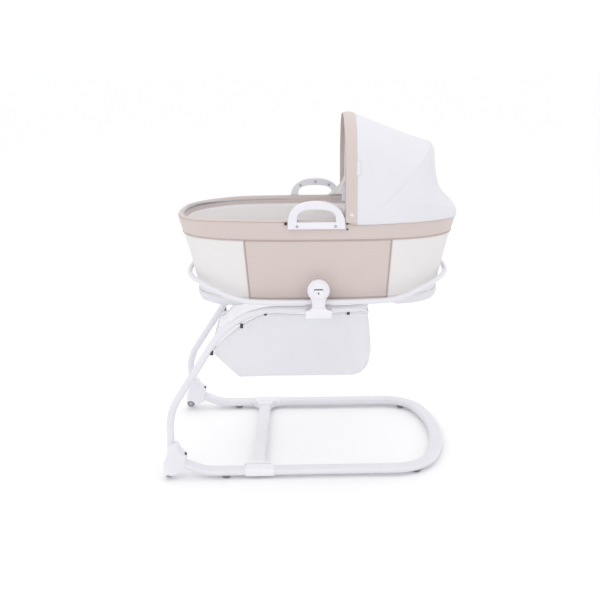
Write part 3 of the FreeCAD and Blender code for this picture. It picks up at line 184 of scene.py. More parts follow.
def white_cloth(name, c1, c2, pitch, bump=0.25, thin=0.0, mesh=False, alpha=None, rough=0.75):
    m = Nodes(name)
    uv = m.uv()
    h, s = weave_height(m, uv, pitch)
    ob = m.obj()
    big = m.noise(ob, 5.0, 3.0)
    fine = m.noise(ob, 300.0, 2.0)
    col = m.mix(big, c1, c2)
    if mesh:
        # painted shade: the knitted holes are darkened a little in a honeycomb rhythm, for the shade seen through them
        hole_shade = m.math("MULTIPLY", m.math("SUBTRACT", 0.55, h), 0.5, clamp=True)
        col = m.mix(hole_shade, col, (c2[0] * 0.72, c2[1] * 0.72, c2[2] * 0.74, 1))
    n = m.bump(h, bump, 0.0003)
    n = m.bump(m.noise(ob, 18.0, 3.0), 0.10, 0.004, n)
    m.set(**{"Base Color": col, "Roughness": m.math("MULTIPLY_ADD", fine, 0.12, rough - 0.06), "Normal": n,
             "Sheen Weight": 0.15, "Sheen Roughness": 0.45, "Specular IOR Level": 0.25})
    if alpha is not None:
        m.set(Alpha=m.math("MULTIPLY_ADD", h, 0.10, alpha - 0.04, clamp=True))
    if thin:
        tr = m.new("ShaderNodeBsdfTranslucent")
        m.val(tr.inputs["Color"], col)
        m.val(tr.inputs["Normal"], n)
        mx = m.new("ShaderNodeMixShader")
        mx.inputs[0].default_value = thin
        m.link(m.bsdf.outputs[0], mx.inputs[1])
        m.link(tr.outputs[0], mx.inputs[2])
        m.link(mx.outputs[0], m.out.inputs["Surface"])
    return m.mat


# edge sets the strength of a painted highlight on convex edges
def hard(name, c1, c2, rough, metal=0.0, grain=300.0, bump=0.05, coat=0.0, spec=0.5, edge=0.0):
    m = Nodes(name)
    ob = m.obj()
    big = m.noise(ob, 9.0, 3.0)
    fine = m.noise(ob, grain, 3.0)
    col = m.mix(big, c1, c2)
    if edge:
        # painted highlight: convex edges and rims a touch paler, from the surface's own curvature
        g = m.new("ShaderNodeNewGeometry")
        w = m.math("MULTIPLY", m.math("SUBTRACT", g.outputs["Pointiness"], 0.52), 9.0, clamp=True)
        col = m.mix(m.math("MULTIPLY", m.math("MULTIPLY", w, m.noise(ob, 60.0, 4.0)), edge), col, (min(1, c2[0] * 1.15), min(1, c2[1] * 1.15), min(1, c2[2] * 1.15), 1))
    n = m.bump(fine, bump, 0.0006)
    r = m.math("MULTIPLY_ADD", m.noise(ob, 40.0, 4.0), 0.16, rough - 0.08)
    m.set(**{"Base Color": col, "Roughness": r, "Metallic": metal, "Normal": n, "Coat Weight": coat, "Coat Roughness": 0.25, "Specular IOR Level": spec})
    return m.mat


M = {
    "white_tube": hard("white_powder_coat", rgb(219, 218, 225), rgb(227, 226, 232), 0.38, grain=900, bump=0.05, coat=0.25, edge=0.6),
    "white_plastic": hard("white_moulded_plastic", rgb(224, 222, 229), rgb(231, 230, 236), 0.46, grain=1400, bump=0.07, edge=0.8),
    "dark_plastic": hard("dark_moulded_plastic", rgb(44, 41, 45), rgb(58, 55, 60), 0.45, grain=1200, bump=0.06, edge=0.8),
    "wheel_plastic": hard("grey_wheel_plastic", rgb(150, 147, 156), rgb(168, 165, 173), 0.55, grain=700, bump=0.10, edge=0.8),
    "foot_rubber": hard("grey_rubber", rgb(120, 118, 124), rgb(138, 136, 142), 0.75, grain=500, bump=0.12, spec=0.3),
    "steel": hard("zinc_plated_steel", rgb(170, 170, 176), rgb(192, 192, 197), 0.32, metal=1.0, grain=600, bump=0.04),
    "hood_wire": hard("white_coated_wire", rgb(228, 227, 232), rgb(238, 237, 241), 0.42, grain=900, bump=0.04),
    "beige_fabric": beige_material(),
    "white_mesh": white_cloth("white_air_mesh", rgb(241, 238, 239), rgb(248, 245, 245), 0.0021, 0.4, 0.18, True),
    "basket_mesh": white_cloth("sheer_basket_mesh", rgb(243, 243, 246), rgb(249, 249, 251), 0.0019, 0.35, 0.35, True, 0.21),
    "white_fabric": white_cloth("white_hood_polyester", rgb(233, 233, 239), rgb(240, 240, 245), 0.0008, 0.22, 0.16),
    "liner_fabric": white_cloth("white_liner_cotton", rgb(249, 246, 246), rgb(253, 250, 250), 0.0010, 0.25, 0.10),
    "mattress_fabric": white_cloth("white_mattress_cotton", rgb(234, 232, 231), rgb(243, 241, 240), 0.0012, 0.3, 0.0),
    "tag_fabric": white_cloth("blank_woven_tag", rgb(216, 216, 226), rgb(230, 230, 238), 0.0006, 0.3, 0.0),
    "thread": hard("beige_binding_tape", rgb(186, 168, 160), rgb(196, 179, 171), 0.8, grain=900, bump=0.2, spec=0.2),
    "white_binding": hard("white_binding_tape", rgb(222, 220, 226), rgb(234, 232, 238), 0.8, grain=900, bump=0.2, spec=0.2),
    "base_board_wood": hard("fibreboard", rgb(168, 140, 110), rgb(182, 154, 122), 0.7, grain=200, bump=0.12),
    # dark plastic for the painted shade sheet in the lock slot, and for the printed direction mark
    "slot_shade_and_print": hard("slot_shade_and_print_dark", rgb(38, 36, 40), rgb(48, 46, 50), 0.6, grain=900, bump=0.05),
}

slots = {s["node"]: s["material_slot"] for s in frame["record"]["subparts"]}
for n, o in frame["nodes"].items():
    mat = M.get(slots.get(n), M["white_plastic"])
    if o.material_slots:
        for s in o.material_slots:
            s.material = mat
    else:
        o.data.materials.append(mat)


# ------------------------------------------------------------------ mesh helpers
def make_obj(name, verts, faces, mat, uvs=None, smooth=True):
    me = bpy.data.meshes.new(name)
    me.from_pydata([tuple(map(float, v)) for v in verts], [], faces)
    me.update()
    o = bpy.data.objects.new(name, me)
    scene.collection.objects.link(o)
    me.materials.append(mat)
    layer = me.uv_layers.new(name="cloth")
    if uvs is not None:
        idx = np.zeros(len(me.loops), dtype=np.int32)
        me.loops.foreach_get("vertex_index", idx)
        flat = np.array(uvs, dtype=np.float32)[idx]
        layer.data.foreach_set("uv", flat.reshape(-1))
    if smooth:
        me.polygons.foreach_set("use_smooth", [True] * len(me.polygons))
    return o


def apply_mods(o):
    dg = bpy.context.evaluated_depsgraph_get()
    me = bpy.data.meshes.new_from_object(o.evaluated_get(dg), preserve_all_data_layers=True, depsgraph=dg)
    old = o.data
    o.modifiers.clear()
    o.data = me
    me.name = o.name
    bpy.data.meshes.remove(old)
    return o


def grid_sheet(name, P, mat, body=None, thick=0.0012, closed_u=False, flip=False, subd=0, offset=-1.0, close_low=False):
    """A cloth made of rows of points, with flat coordinates in metres for its weave."""
    P = np.asarray(P, float)
    nv, nu = P.shape[:2]
    # flat coordinates: running length along the middle row, and along each column
    mid = P[nv // 2]
    du = np.concatenate([[0], np.cumsum(np.linalg.norm(np.diff(mid, axis=0), axis=1))])
    dv = np.concatenate([np.zeros((1, nu)), np.cumsum(np.linalg.norm(np.diff(P, axis=0), axis=2), axis=0)])
    uv = np.zeros((nv, nu, 2))
    uv[..., 0] = du[None, :]
    uv[..., 1] = dv
    verts = P.reshape(-1, 3)
    uvs = uv.reshape(-1, 2)
    faces = []
    m = nu if closed_u else nu - 1
    for i in range(nv - 1):
        for j in range(m):
            a, b = i * nu + j, i * nu + (j + 1) % nu
            c, d = (i + 1) * nu + (j + 1) % nu, (i + 1) * nu + j
            faces.append((a, d, c, b) if flip else (a, b, c, d))
    o = make_obj(name, verts, faces, mat, uvs)
    if closed_u:
        # the wrap column gets its own end coordinate
        me = o.data
        total = du[-1] + np.linalg.norm(mid[0] - mid[-1])
        lay = me.uv_layers["cloth"].data
        for p in me.polygons:
            us = [lay[li].uv[0] for li in p.loop_indices]
            if max(us) - min(us) > total / 2:
                for li in p.loop_indices:
                    if lay[li].uv[0] < total / 2:
                        lay[li].uv[0] += total
    if thick:
        s = o.modifiers.new("thickness", "SOLIDIFY")
        s.thickness = thick
        s.offset = offset
        s.use_even_offset = False
    if subd:
        s = o.modifiers.new("smooth", "SUBSURF")
        s.levels = s.render_levels = subd
    if thick or subd:
        apply_mods(o)
    if body:
        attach(o, body)
    return o


def tube_mesh(name, pts, r, mat, closed=False, n=8, squash=1.0):
    """A thin binding or tube along points."""
    pts = [Vector(p) for p in pts]
    N = len(pts)
    verts, faces, uvs = [], [], []
    prev = None
    L = 0.0
    for i, p in enumerate(pts):
        a = pts[(i - 1) % N] if closed or i > 0 else p
        b = pts[(i + 1) % N] if closed or i < N - 1 else p
        t = (b - a).normalized()
        if prev is None:
            ref = Vector((0, 0, 1)) if abs(t.z) < 0.9 else Vector((0, 1, 0))
            x = t.cross(ref).normalized()
        else:
            x = (prev - t * prev.dot(t)).normalized()
        prev = x
        y = t.cross(x)
        if i:
            L += (p - pts[i - 1]).length
        for k in range(n):
            ang = 2 * math.pi * k / n
            verts.append(p + x * (math.cos(ang) * r) + y * (math.sin(ang) * r * squash))
            uvs.append((L, k * r))
    m = N if closed else N - 1
    for i in range(m):
        for k in range(n):
            a, b = i * n + k, i * n + (k + 1) % n
            j = (i + 1) % N
            faces.append((a, b, j * n + (k + 1) % n, j * n + k))
    if not closed:
        faces.append(tuple(reversed(range(n))))
        faces.append(tuple((N - 1) * n + k for k in range(n)))
    return make_obj(name, verts, faces, mat, uvs)


def piece(o, body):
    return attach(o, body)


def fnoise(x, y, z, s):
    return noise.noise(Vector((x * s, y * s, z * s)))


def lerp(tab, x):
    return float(np.interp(x, [q[0] for q in tab], [q[1] for q in tab]))


def smooth(x):
    x = min(1.0, max(0.0, x))
    return x * x * (3 - 2 * x)


# ------------------------------------------------------------------ the tub's outline (millimetres, hub line at X = 0)
A_TAB = [(508, 335), (510, 347), (514, 357), (520, 364), (530, 367.5), (548, 369.5), (584, 376.5), (622, 384), (665, 394),
         (695, 401.8), (722, 410), (745, 415), (765, 419.5), (785, 422.5)]
B_EDGE = [(508, 34), (510, 22), (514, 12.5), (520, 6), (530, 1.8), (548, 0), (800, 0)]


def half_long(z):
    return lerp(A_TAB, z)


def half_wide(z):
    return 216.0 - 0.1 * (782.0 - z) - lerp(B_EDGE, z)


def dense_ring(a, b, n=3.0, m=2400):
    t = np.linspace(0, 2 * math.pi, m, endpoint=False)
    c, s = np.cos(t), np.sin(t)
    return np.stack([a * np.sign(c) * np.abs(c) ** (2 / n), b * np.sign(s) * np.abs(s) ** (2 / n)], 1)


def resample(P, count, closed):
    P = np.asarray(P, float)
    if closed:
        P = np.concatenate([P, P[:1]])
    L = np.concatenate([[0], np.cumsum(np.linalg.norm(np.diff(P, axis=0), axis=1))])
    s = np.linspace(0, L[-1], count, endpoint=not closed)
    return np.stack([np.interp(s, L, P[:, k]) for k in range(P.shape[1])], 1)


def ring(z, inset, count, n=3.0):
    return resample(dense_ring(half_long(z) - inset, half_wide(z) - inset, n), count, True)


def panel_edge(z):
    return 203.0 + (z - 535.0) / 192.0 * 12.0


def arc_part(z, inset, kind, count):
    a, b = half_long(z) - inset, half_wide(z) - inset
    xe = panel_edge(z)
    R = dense_ring(a, b)
    if kind in ("near", "far"):
        sg = -1 if kind == "near" else 1
        x = np.linspace(-xe, xe, count)
        y = sg * b * (1 - np.abs(x / a) ** 3) ** (1 / 3)
        return np.stack([x, y], 1)
    sg = -1 if kind == "foot" else 1
    Q = R[sg * R[:, 0] > xe]
    ang = np.arctan2(Q[:, 1], sg * Q[:, 0])
    Q = Q[np.argsort(ang)]
    ye = b * (1 - (xe / a) ** 3) ** (1 / 3)
    Q = np.concatenate([[[sg * xe, -ye]], Q, [[sg * xe, ye]]])
    return resample(Q, count, False)


def to_row(x, y, z):
    return (x * MM + HS, y * MM, z * MM)


def loft_levels(kind, z0, z1, nz, count, inset, bulge=None):
    rows = []
    for k in range(nz):
        f = k / (nz - 1)
        z = z0 + (z1 - z0) * f
        pts = arc_part(z, inset, kind, count)
        # outward direction from neighbouring points
        tg = np.gradient(pts, axis=0)
        nr = np.stack([tg[:, 1], -tg[:, 0]], 1)
        nr /= np.linalg.norm(nr, axis=1)[:, None]
        if (nr * pts).sum() < 0:
            nr = -nr
        row = []
        for j in range(count):
            d = bulge(j / (count - 1), f, pts[j], z) if bulge else 0.0
            row.append(to_row(pts[j, 0] + nr[j, 0] * d, pts[j, 1] + nr[j, 1] * d, z))
        rows.append(row)
    return rows


# ------------------------------------------------------------------ side panels
def side_bulge(u, f, p, z):
    e = math.sin(math.pi * min(1, max(0, u))) ** 0.5 if 0 < u < 1 else 0
    g = math.sin(math.pi * f) ** 0.6 if 0 < f < 1 else 0
    n = fnoise(p[0], z, 7, 0.008) * 1.2 + fnoise(p[0], z, 3, 0.025) * 0.35
    return 0.4 + e * g * (0.9 + n) - 0.4


for side in ("near", "far"):
    rows = loft_levels(side, 541.5, 720.5, 28, 70, 0.0, side_bulge)
    o = grid_sheet("side_panel_cloth_" + side, rows, M["beige_fabric"], thick=0.002, flip=(side == "far"))
    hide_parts("side_panel_" + side)
    piece(o, "bassinet")


# ------------------------------------------------------------------ mesh ends
def end_bulge(u, f, p, z):
    e = math.sin(math.pi * u) ** 0.6 if 0 < u < 1 else 0
    g = math.sin(math.pi * f) ** 0.7 if 0 < f < 1 else 0
    n = fnoise(p[0], p[1], z, 0.009) * 1.6 + fnoise(p[0] + p[1], z * 0.3, 5, 0.03) * 0.6
    low = (1 - f) ** 3 * fnoise(p[0] * 1.0, p[1] * 1.0, 0, 0.05) * 1.6
    return e * g * (0.8 + n) + e * low


for kind in ("foot", "head"):
    rows = loft_levels(kind, 541.5, 720.5, 30, 110, 0.0, end_bulge)
    P = np.array(rows)
    w = float(np.linalg.norm(np.diff(P[15], axis=0), axis=1).sum())
    o = grid_sheet("end_panel_mesh_" + kind, rows, M["white_mesh"], thick=0.0016, flip=(kind == "foot"))
    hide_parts("end_panel_" + kind)
    piece(o, "bassinet")

# piping down the seams between the beige panels and the mesh
for side, sg in (("near", -1), ("far", 1)):
    for end, sx in (("foot", -1), ("head", 1)):
        pts = []
        for k in range(26):
            z = 541 + 180 * k / 25
            xe = panel_edge(z) + 0.2
            b = half_wide(z) + 0.5
            y = b * (1 - (xe / half_long(z)) ** 3) ** (1 / 3)
            pts.append(to_row(sx * xe, sg * (y + 0.3), z))
        piece(tube_mesh("panel_seam_%s_%s" % (side, end), pts, 0.0012, M["thread"]), "bassinet")


# ------------------------------------------------------------------ bottom tray, one bowl of cloth
def bottom_z(x):
    ax = abs(x)
    f = 0.0 if ax < 190 else (1.0 if ax > 250 else 0.5 - 0.5 * math.cos(math.pi * (ax - 190) / 60.0))
    return 533.0 + (508.0 - 533.0) * f


rows = []
NC = 176
lv = [(0.02, 508), (0.2, 508), (0.4, 508), (0.6, 508), (0.75, 508), (0.88, 508), (0.96, 508), (1, 508), (1, 509), (1, 510.5), (1, 513), (1, 516),
      (1, 519), (1, 523), (1, 527), (1, 531), (1, 535), (1, 538), (1, 540.5)]
for rho, z in lv:
    pts = ring(z, 0.0, NC)
    row = []
    for x, y in pts:
        xx, yy = x * rho, y * rho
        zz = max(z, bottom_z(xx) + (0 if rho < 1 else (z - 508) * 0.2))
        zz = min(zz, 540.5)
        if rho == 1 and z < 540:
            # puckers below the loop at both ends, and in the rounded corners
            endf = smooth((abs(x) - 215) / 90)
            an = math.atan2(y, x)
            w = 4.5 + math.sin(an * 34 + 1.7 * math.sin(an * 7)) * 1.6 + math.sin(an * 61 + 2) * 0.6
            k = endf * math.sin(math.pi * min(1, (z - 506) / 36.0)) * w
            d = math.hypot(x, y)
            xx += x / d * k
            yy += y / d * k
            zz -= 4.0 * endf * math.sin(math.pi * min(1, max(0, (541 - z) / 46.0)))
        row.append(to_row(xx, yy, zz))
    rows.append(row)
o = grid_sheet("bottom_tray_cloth", rows, M["white_fabric"], thick=0.0016, closed_u=True, flip=False)
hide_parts("bottom_tray")
piece(o, "bassinet")

# piping round the lower seam
for kind in ("near", "far", "foot", "head"):
    pts = [to_row(x, y, 540.8) for x, y in arc_part(541, -0.6, kind, 60)]
    piece(tube_mesh("lower_seam_piping_" + kind, pts, 0.0016, M["thread" if kind in ("near", "far") else "white_binding"]), "bassinet")


# ------------------------------------------------------------------ padded rim band
def rim_drop(x):
    """The rim's top dips a little towards both ends."""
    return -5.5 * smooth((abs(x) - 240) / 175.0)


prof = [(0.6, 722.6), (-0.6, 724.5), (-1.0, 730), (-1.5, 740), (-1.9, 750), (-2.1, 760), (-1.9, 768), (-1.0, 774.5), (1.2, 779.3), (4.6, 782.0), (7.6, 782.6),
        (10.6, 781.6), (13.2, 778.6), (14.6, 774), (15.0, 766), (14.6, 755), (14.2, 740), (14.0, 727), (13.2, 723.2), (9.0, 722.0), (4.5, 721.8), (1.6, 722.0)]
rows = []
NB = 260
for ins, z in prof:
    pts = ring(min(z, 785), ins, NB)
    row = []
    for j, (x, y) in enumerate(pts):
        d = math.hypot(x, y)
        w = fnoise(x, y, z, 0.012) * 0.55 + fnoise(x, y, z * 0.4, 0.05) * 0.3
        g = math.sin(math.pi * min(1, max(0, (z - 722) / 61.0)))
        zz = z + rim_drop(x) * smooth((z - 735) / 45.0)
        row.append(to_row(x + x / d * w * g, y + y / d * w * g, zz))
    rows.append(row)
rows.append(rows[0])
P = np.array(rows)
nv, nu = P.shape[:2]
du = np.concatenate([[0], np.cumsum(np.linalg.norm(np.diff(P[5], axis=0), axis=1))])
dv = np.concatenate([[0], np.cumsum([np.linalg.norm(P[i + 1, 0] - P[i, 0]) for i in range(nv - 1)])])
verts, uvs, faces = [], [], []
for i in range(nv - 1):
    for j in range(nu):
        verts.append(P[i, j])
        uvs.append((du[j], dv[i]))
for i in range(nv - 1):
    for j in range(nu):
        a, b = i * nu + j, i * nu + (j + 1) % nu
        i2 = (i + 1) % (nv - 1)
        faces.append((a, b, i2 * nu + (j + 1) % nu, i2 * nu + j))
o = make_obj("rim_band_padded", verts, faces, M["beige_fabric"], uvs)
lay = o.data.uv_layers["cloth"].data
tot_u, tot_v = du[-1] + (du[1] - du[0]), dv[-1]
for p in o.data.polygons:
    us = [lay[li].uv[0] for li in p.loop_indices]
    vs = [lay[li].uv[1] for li in p.loop_indices]
    if max(us) - min(us) > tot_u / 2:
        for li in p.loop_indices:
            if lay[li].uv[0] < tot_u / 2:
                lay[li].uv[0] += tot_u
    if max(vs) - min(vs) > tot_v / 2:
        for li in p.loop_indices:
            if lay[li].uv[1] < tot_v / 2:
                lay[li].uv[1] += tot_v
s = o.modifiers.new("smooth", "SUBSURF")
s.levels = s.render_levels = 1
apply_mods(o)
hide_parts("rim_band")
piece(o, "bassinet")
# bindings at the band's lower seam and along its outer top edge
pts = [to_row(x, y, 722.2) for x, y in ring(722, -0.4, 200)]
piece(tube_mesh("band_lower_seam", pts, 0.0014, M["thread"], closed=True), "bassinet")
pts = [to_row(x, y, 777.0 + rim_drop(x)) for x, y in ring(776, -1.0, 200)]
piece(tube_mesh("band_top_stitch", pts, 0.0007, M["thread"], closed=True, n=6), "bassinet")

# ------------------------------------------------------------------ inner liner and mattress
rows = []
NL = 180
for k in range(26):
    f = k / 25
    z = 553 + f * 203
    pts = ring(z, lerp([(553, 9.0), (600, 9.5), (690, 13.5), (715, 16.0), (756, 16.2)], z), NL)
    row = []
    for x, y in pts:
        d = math.hypot(x, y)
        w = (fnoise(x, y, z * 0.5, 0.014) * 1.3 + fnoise(x, y, z * 0.2, 0.05) * 0.5) * math.sin(math.pi * f)
        zz = z + rim_drop(x) * smooth((z - 700) / 50.0)
        row.append(to_row(x - x / d * abs(w), y - y / d * abs(w), zz))
    rows.append(row)
P = np.array(rows)
per = float(np.linalg.norm(np.diff(np.concatenate([P[13], P[13][:1]]), axis=0), axis=1).sum())
o = grid_sheet("inner_liner_cloth", rows, M["liner_fabric"], thick=0.0012, closed_u=True)
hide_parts("inner_liner")
piece(o, "bassinet")

pts = [tuple(p) for p in P[-1]]
piece(tube_mesh("inner_liner_binding", pts, 0.0016, M["white_binding"], closed=True), "bassinet")

zb, zt = 552.2, 586.0
prof = []
for k in range(13):
    a = -math.pi / 2 + math.pi * k / 12
    prof.append((11 * (1 - math.cos(a)), (zb + zt) / 2 + (zt - zb) / 2 * math.sin(a) * 0.98))
rows = []
NM = 150
for rho in (0.02, 0.25, 0.5, 0.75, 0.92):
    pts = ring(565, 29 + 0.0, NM)
    rows.append([to_row(x * rho, y * rho, zb + 0.2) for x, y in pts])
for ins, z in prof:
    rows.append([to_row(x, y, z) for x, y in ring(565, 19 + ins, NM)])
for rho in (0.94, 0.86, 0.76, 0.64, 0.5, 0.36, 0.2, 0.08, 0.02):
    pts = ring(565, 30, NM)
    rr = []
    for x, y in pts:
        xx, yy = x * rho, y * rho
        quilt = 0.9 * abs(math.sin(math.pi * (xx + yy) / 62.0)) ** 0.35 + 0.9 * abs(math.sin(math.pi * (xx - yy) / 62.0)) ** 0.35
        rr.append(to_row(xx, yy, zt - 1.5 + quilt + 1.8 * (1 - rho ** 2)))
    rows.append(rr)
P = np.array(rows)
nv, nu = P.shape[:2]
o = grid_sheet("mattress_padded", rows, M["mattress_fabric"], thick=0, closed_u=True)
import bmesh
bm = bmesh.new()
bm.from_mesh(o.data)
bmesh.ops.holes_fill(bm, edges=[e for e in bm.edges if e.is_boundary], sides=0)
bmesh.ops.recalc_face_normals(bm, faces=bm.faces)
bm.to_mesh(o.data)
bm.free()
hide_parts("mattress")
piece(o, "bassinet")
for nm, z in (("upper", zt - 5), ("lower", zb + 5)):
    pts = [to_row(x, y, z) for x, y in ring(565, 20.6, 150)]
    piece(tube_mesh("mattress_piping_" + nm, pts, 0.0016, M["white_binding"], closed=True), "bassinet")


# ------------------------------------------------------------------ hood
HX, HZ = 96.0, 797.0
# station, ridge X, ridge Z, base X, base Z, exponent
ST = [
    (0.00, 79.5, 1063.0, 79.5, 776, 2.5, 0.24), (0.05, 88, 1066.6, 88, 775, 2.5, 0.24), (0.10, 97, 1067.4, 97, 773, 2.5, 0.24), (0.15, 106, 1066.0, 106, 771, 2.5, 0.24),
    (0.19, 113, 1063.3, 112, 769, 2.5, 0.24), (0.28, 160, 1045.0, 116, 768.5, 2.5, 0.235), (0.36, 210, 1025.6, 119, 768, 2.52, 0.23), (0.44, 262, 1005.8, 122, 768, 2.55, 0.22),
    (0.50, 305, 990.2, 125, 768, 2.58, 0.21), (0.545, 332, 981.0, 127, 768, 2.6, 0.205), (0.56, 342, 979.0, 129, 768, 2.6, 0.20), (0.572, 348.5, 976.0, 132, 768, 2.6, 0.20),
    (0.585, 351.0, 968, 138, 768, 2.6, 0.20), (0.63, 352.5, 945, 152, 768, 2.62, 0.18), (0.68, 355, 915, 175, 768.5, 2.65, 0.16), (0.73, 360, 884, 203, 769, 2.7, 0.14),
    (0.78, 368, 856, 236, 770, 2.7, 0.12), (0.83, 380, 833, 272, 770.5, 2.75, 0.10), (0.88, 396, 816.5, 310, 771, 2.8, 0.06), (0.93, 411, 801.5, 350, 771, 2.9, 0.03),
    (0.97, 422, 787.5, 386, 770.5, 3.0, 0.0), (1.0, 424.6, 773.5, 412, 768.5, 3.0, 0.0)]
SS = [q[0] for q in ST]


def rim_y(x):
    """The cloth's line round the outside of the rim band."""
    x = min(abs(x), 424.3)
    return 219.4 * (1 - (x / 424.7) ** 3) ** (1 / 3)


def hood_pt(s, u):
    """Point of the hood's outer face at station s, 0..1 from the front hem, and u, 0..1 from the near rim over to the far rim."""
    X = [float(np.interp(s, SS, [q[k] for q in ST])) for k in (1, 2, 3, 4, 5, 6)]
    ax, az, bx, bz, n, k0 = X
    half = min(219.2, rim_y(bx)) + 3.0 * (1 - smooth((s - 0.15) / 0.15))
    # upright lower sides, then the arch
    e = 0.5 * k0
    if u < e or u > 1 - e:
        g = (u if u < e else 1 - u) / e
        k = k0 * g
        arch = half - 4.4 * smooth((k - 0.05) / 0.16) * (k0 / 0.24)
        y = -arch if u < 0.5 else arch
    else:
        t = math.pi * (u - e) / (1 - 2 * e)
        c, sn = math.cos(t), math.sin(t)
        top = half - 4.4 * smooth((k0 - 0.05) / 0.16) * (k0 / 0.24)
        k = k0 + (1 - k0) * abs(sn) ** (2.0 / n)
        y = -top * math.copysign(abs(c) ** (2.0 / n), c)
    x = bx + (ax - bx) * k
    z = bz + (az - bz) * k
    if s > 0.56:
        # the lower rear settles onto the rim's rounded plan
        lim = rim_y(x) + 0.4 + 70.0 * smooth((z - 798) / 160.0)
        y = math.copysign(min(abs(y), lim), y)
    return np.array([x, y, z])


def hood_rows(s0, s1, ns, nu, extra=None):
    us = []
    # even spacing along the arch
    base = np.array([hood_pt((s0 + s1) / 2, u) for u in np.linspace(0, 1, 801)])
    L = np.concatenate([[0], np.cumsum(np.linalg.norm(np.diff(base, axis=0), axis=1))])
    us = np.interp(np.linspace(0, L[-1], nu), L, np.linspace(0, 1, 801))
    rows = []
    for i in range(ns):
        s = s0 + (s1 - s0) * i / (ns - 1)
        rows.append([hood_pt(s, u) for u in us])
    P = np.array(rows)
    # even out the creases of the table, keeping the borders
    for _ in range(6):
        Q = P.copy()
        Q[1:-1, 1:-1] = 0.25 * (P[:-2, 1:-1] + P[2:, 1:-1] + P[1:-1, :-2] + P[1:-1, 2:])
        P = 0.5 * P + 0.5 * Q
    # soft folds, along the cloth's normal
    du = np.gradient(P, axis=1)
    dv = np.gradient(P, axis=0)
    N = np.cross(dv, du)
    N /= np.maximum(1e-9, np.linalg.norm(N, axis=2))[..., None]
    c = P.mean(axis=(0, 1))
    if ((P - c) * N).sum() < 0:
        N = -N
    if extra:
        for i in range(ns):
            for j in range(nu):
                P[i, j] += N[i, j] * extra(i / (ns - 1), us[j], P[i, j])
    P = P * MM
    P[..., 0] += HS
    return P


def fold_front(f, u, p):
    e = math.sin(math.pi * f)
    side = abs(u - 0.5) * 2
    # tension folds from the middle bow's shoulder down towards the hinge, on both sides
    d = (p[2] - 785) * 0.55 + (p[0] - 110) * -0.52
    w = math.sin(d * 0.085 + 1.2) * smooth((side - 0.15) / 0.4) * 0.8
    return e * (w + fnoise(p[0], p[1], p[2], 0.010) * 1.6 + fnoise(p[0], p[1], p[2], 0.026) * 0.5) - e * 1.2 * (1 - side)


def fold_rear(f, u, p):
    e = math.sin(math.pi * min(1, f * 1.05)) ** 0.8 if 0 < f < 0.95 else 0
    a = math.atan2(p[1], p[0] - 200)
    low = math.sin(a * 22 + 2.0 * math.sin(a * 5)) * 1.0 * smooth((f - 0.45) / 0.3) * smooth((1.0 - f) / 0.15)
    return e * (fnoise(p[0], p[1], p[2], 0.011) * 1.8 + fnoise(p[0], p[1], p[2], 0.03) * 0.6) + low


# beige hem band that holds the front bow
P = hood_rows(0.0, 0.19, 14, 150)
w = float(np.linalg.norm(np.diff(P[7], axis=0), axis=1).sum())
o = grid_sheet("hood_hem_cloth", P, M["beige_fabric"], thick=0.002)
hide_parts("hood_hem_band")
piece(o, "hood_front")
# the turned inner face of the hem
Q = P.copy()
cy = 0.0
Q[..., 1] *= 0.977
Q[..., 2] = 0.785 + (Q[..., 2] - 0.785) * 0.974
o = grid_sheet("hood_hem_facing", Q, M["beige_fabric"], thick=0.0012)
piece(o, "hood_front")
for nm, row in (("front", 0), ("back", -1)):
    pts = [tuple(p) for p in P[row]]
    mat = M["thread"] if nm == "front" else M["white_binding"]
    piece(tube_mesh("hood_hem_piping_" + nm, pts, 0.0016 if nm == "front" else 0.0019, mat), "hood_front")

# front cloth, from the hem to the middle bow
PF = hood_rows(0.19, 0.562, 46, 150, fold_front)
o = grid_sheet("hood_cloth_front", PF, M["white_fabric"], thick=0.0012)
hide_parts("hood_canopy_front")
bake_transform(o)

# rear cloth, from the middle bow down to the rim
PR = hood_rows(0.562, 1.0, 56, 150, fold_rear)
o = grid_sheet("hood_cloth_rear", PR, M["white_fabric"], thick=0.0012)
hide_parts("hood_canopy_rear")
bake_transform(o)

# seam over the middle bow
pts = [tuple(p + np.array([0.0006, 0, 0.0006])) for p in PF[-1]]
piece(tube_mesh("hood_mid_seam", pts, 0.0013, M["white_binding"]), "hood_rear")

# blank tag sewn into the hem's rear seam on the near side
zs = np.linspace(909, 948, 12)
rows = []
for z in zs:
    row = []
    for k in range(7):
        s = 0.175 + 0.03 * k / 6
        us = np.linspace(0, 0.5, 400)
        pp = [hood_pt(s, u) for u in us]
        i = int(np.argmin([abs(q[2] - z) for q in pp]))
        q = pp[i]
        row.append(((HX + 15 + 12 * k / 6) * MM + HS, (q[1] - 1.6 - 0.5 * math.sin(math.pi * k / 6)) * MM, z * MM))
    rows.append(row)
P = np.array(rows)
o = grid_sheet("hood_tag_cloth", P, M["tag_fabric"], thick=0.0008)
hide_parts("hood_tag")
piece(o, "hood_front")

# lining gussets inside the hood's front corners
for side, sg in (("near", -1), ("far", 1)):
    top = np.array([92, sg * 205.0, 848.0])
    f0 = np.array([34, sg * 200.0, 783.5])
    b0 = np.array([104, sg * 205.0, 785.0])
    rows = []
    for i in range(22):
        f = i / 21
        a = f0 * (1 - f) + top * f
        # the free edge is drawn in between its ends
        a[0] += 9.0 * math.sin(math.pi * f)
        b = b0 * (1 - f) + (top + np.array([14, 0, 0])) * f
        row = []
        for j in range(20):
            g = j / 19
            p = a * (1 - g) + b * g
            p[1] += sg * -1.6 * math.sin(math.pi * g) * (1 + 0.6 * math.sin(g * 13 + f * 3))
            row.append(to_row(*p))
        rows.append(row)
    P = np.array(rows)
    o = grid_sheet("hood_lining_gusset_" + side, P, M["liner_fabric"], thick=0.001, flip=(sg > 0))
    piece(o, "bassinet")


# ------------------------------------------------------------------ storage basket
FZ, FH = 278.0, 150.0


def half_at_z(z):
    return 150.0 + (z - 278.0) / 219.0 * 36.0


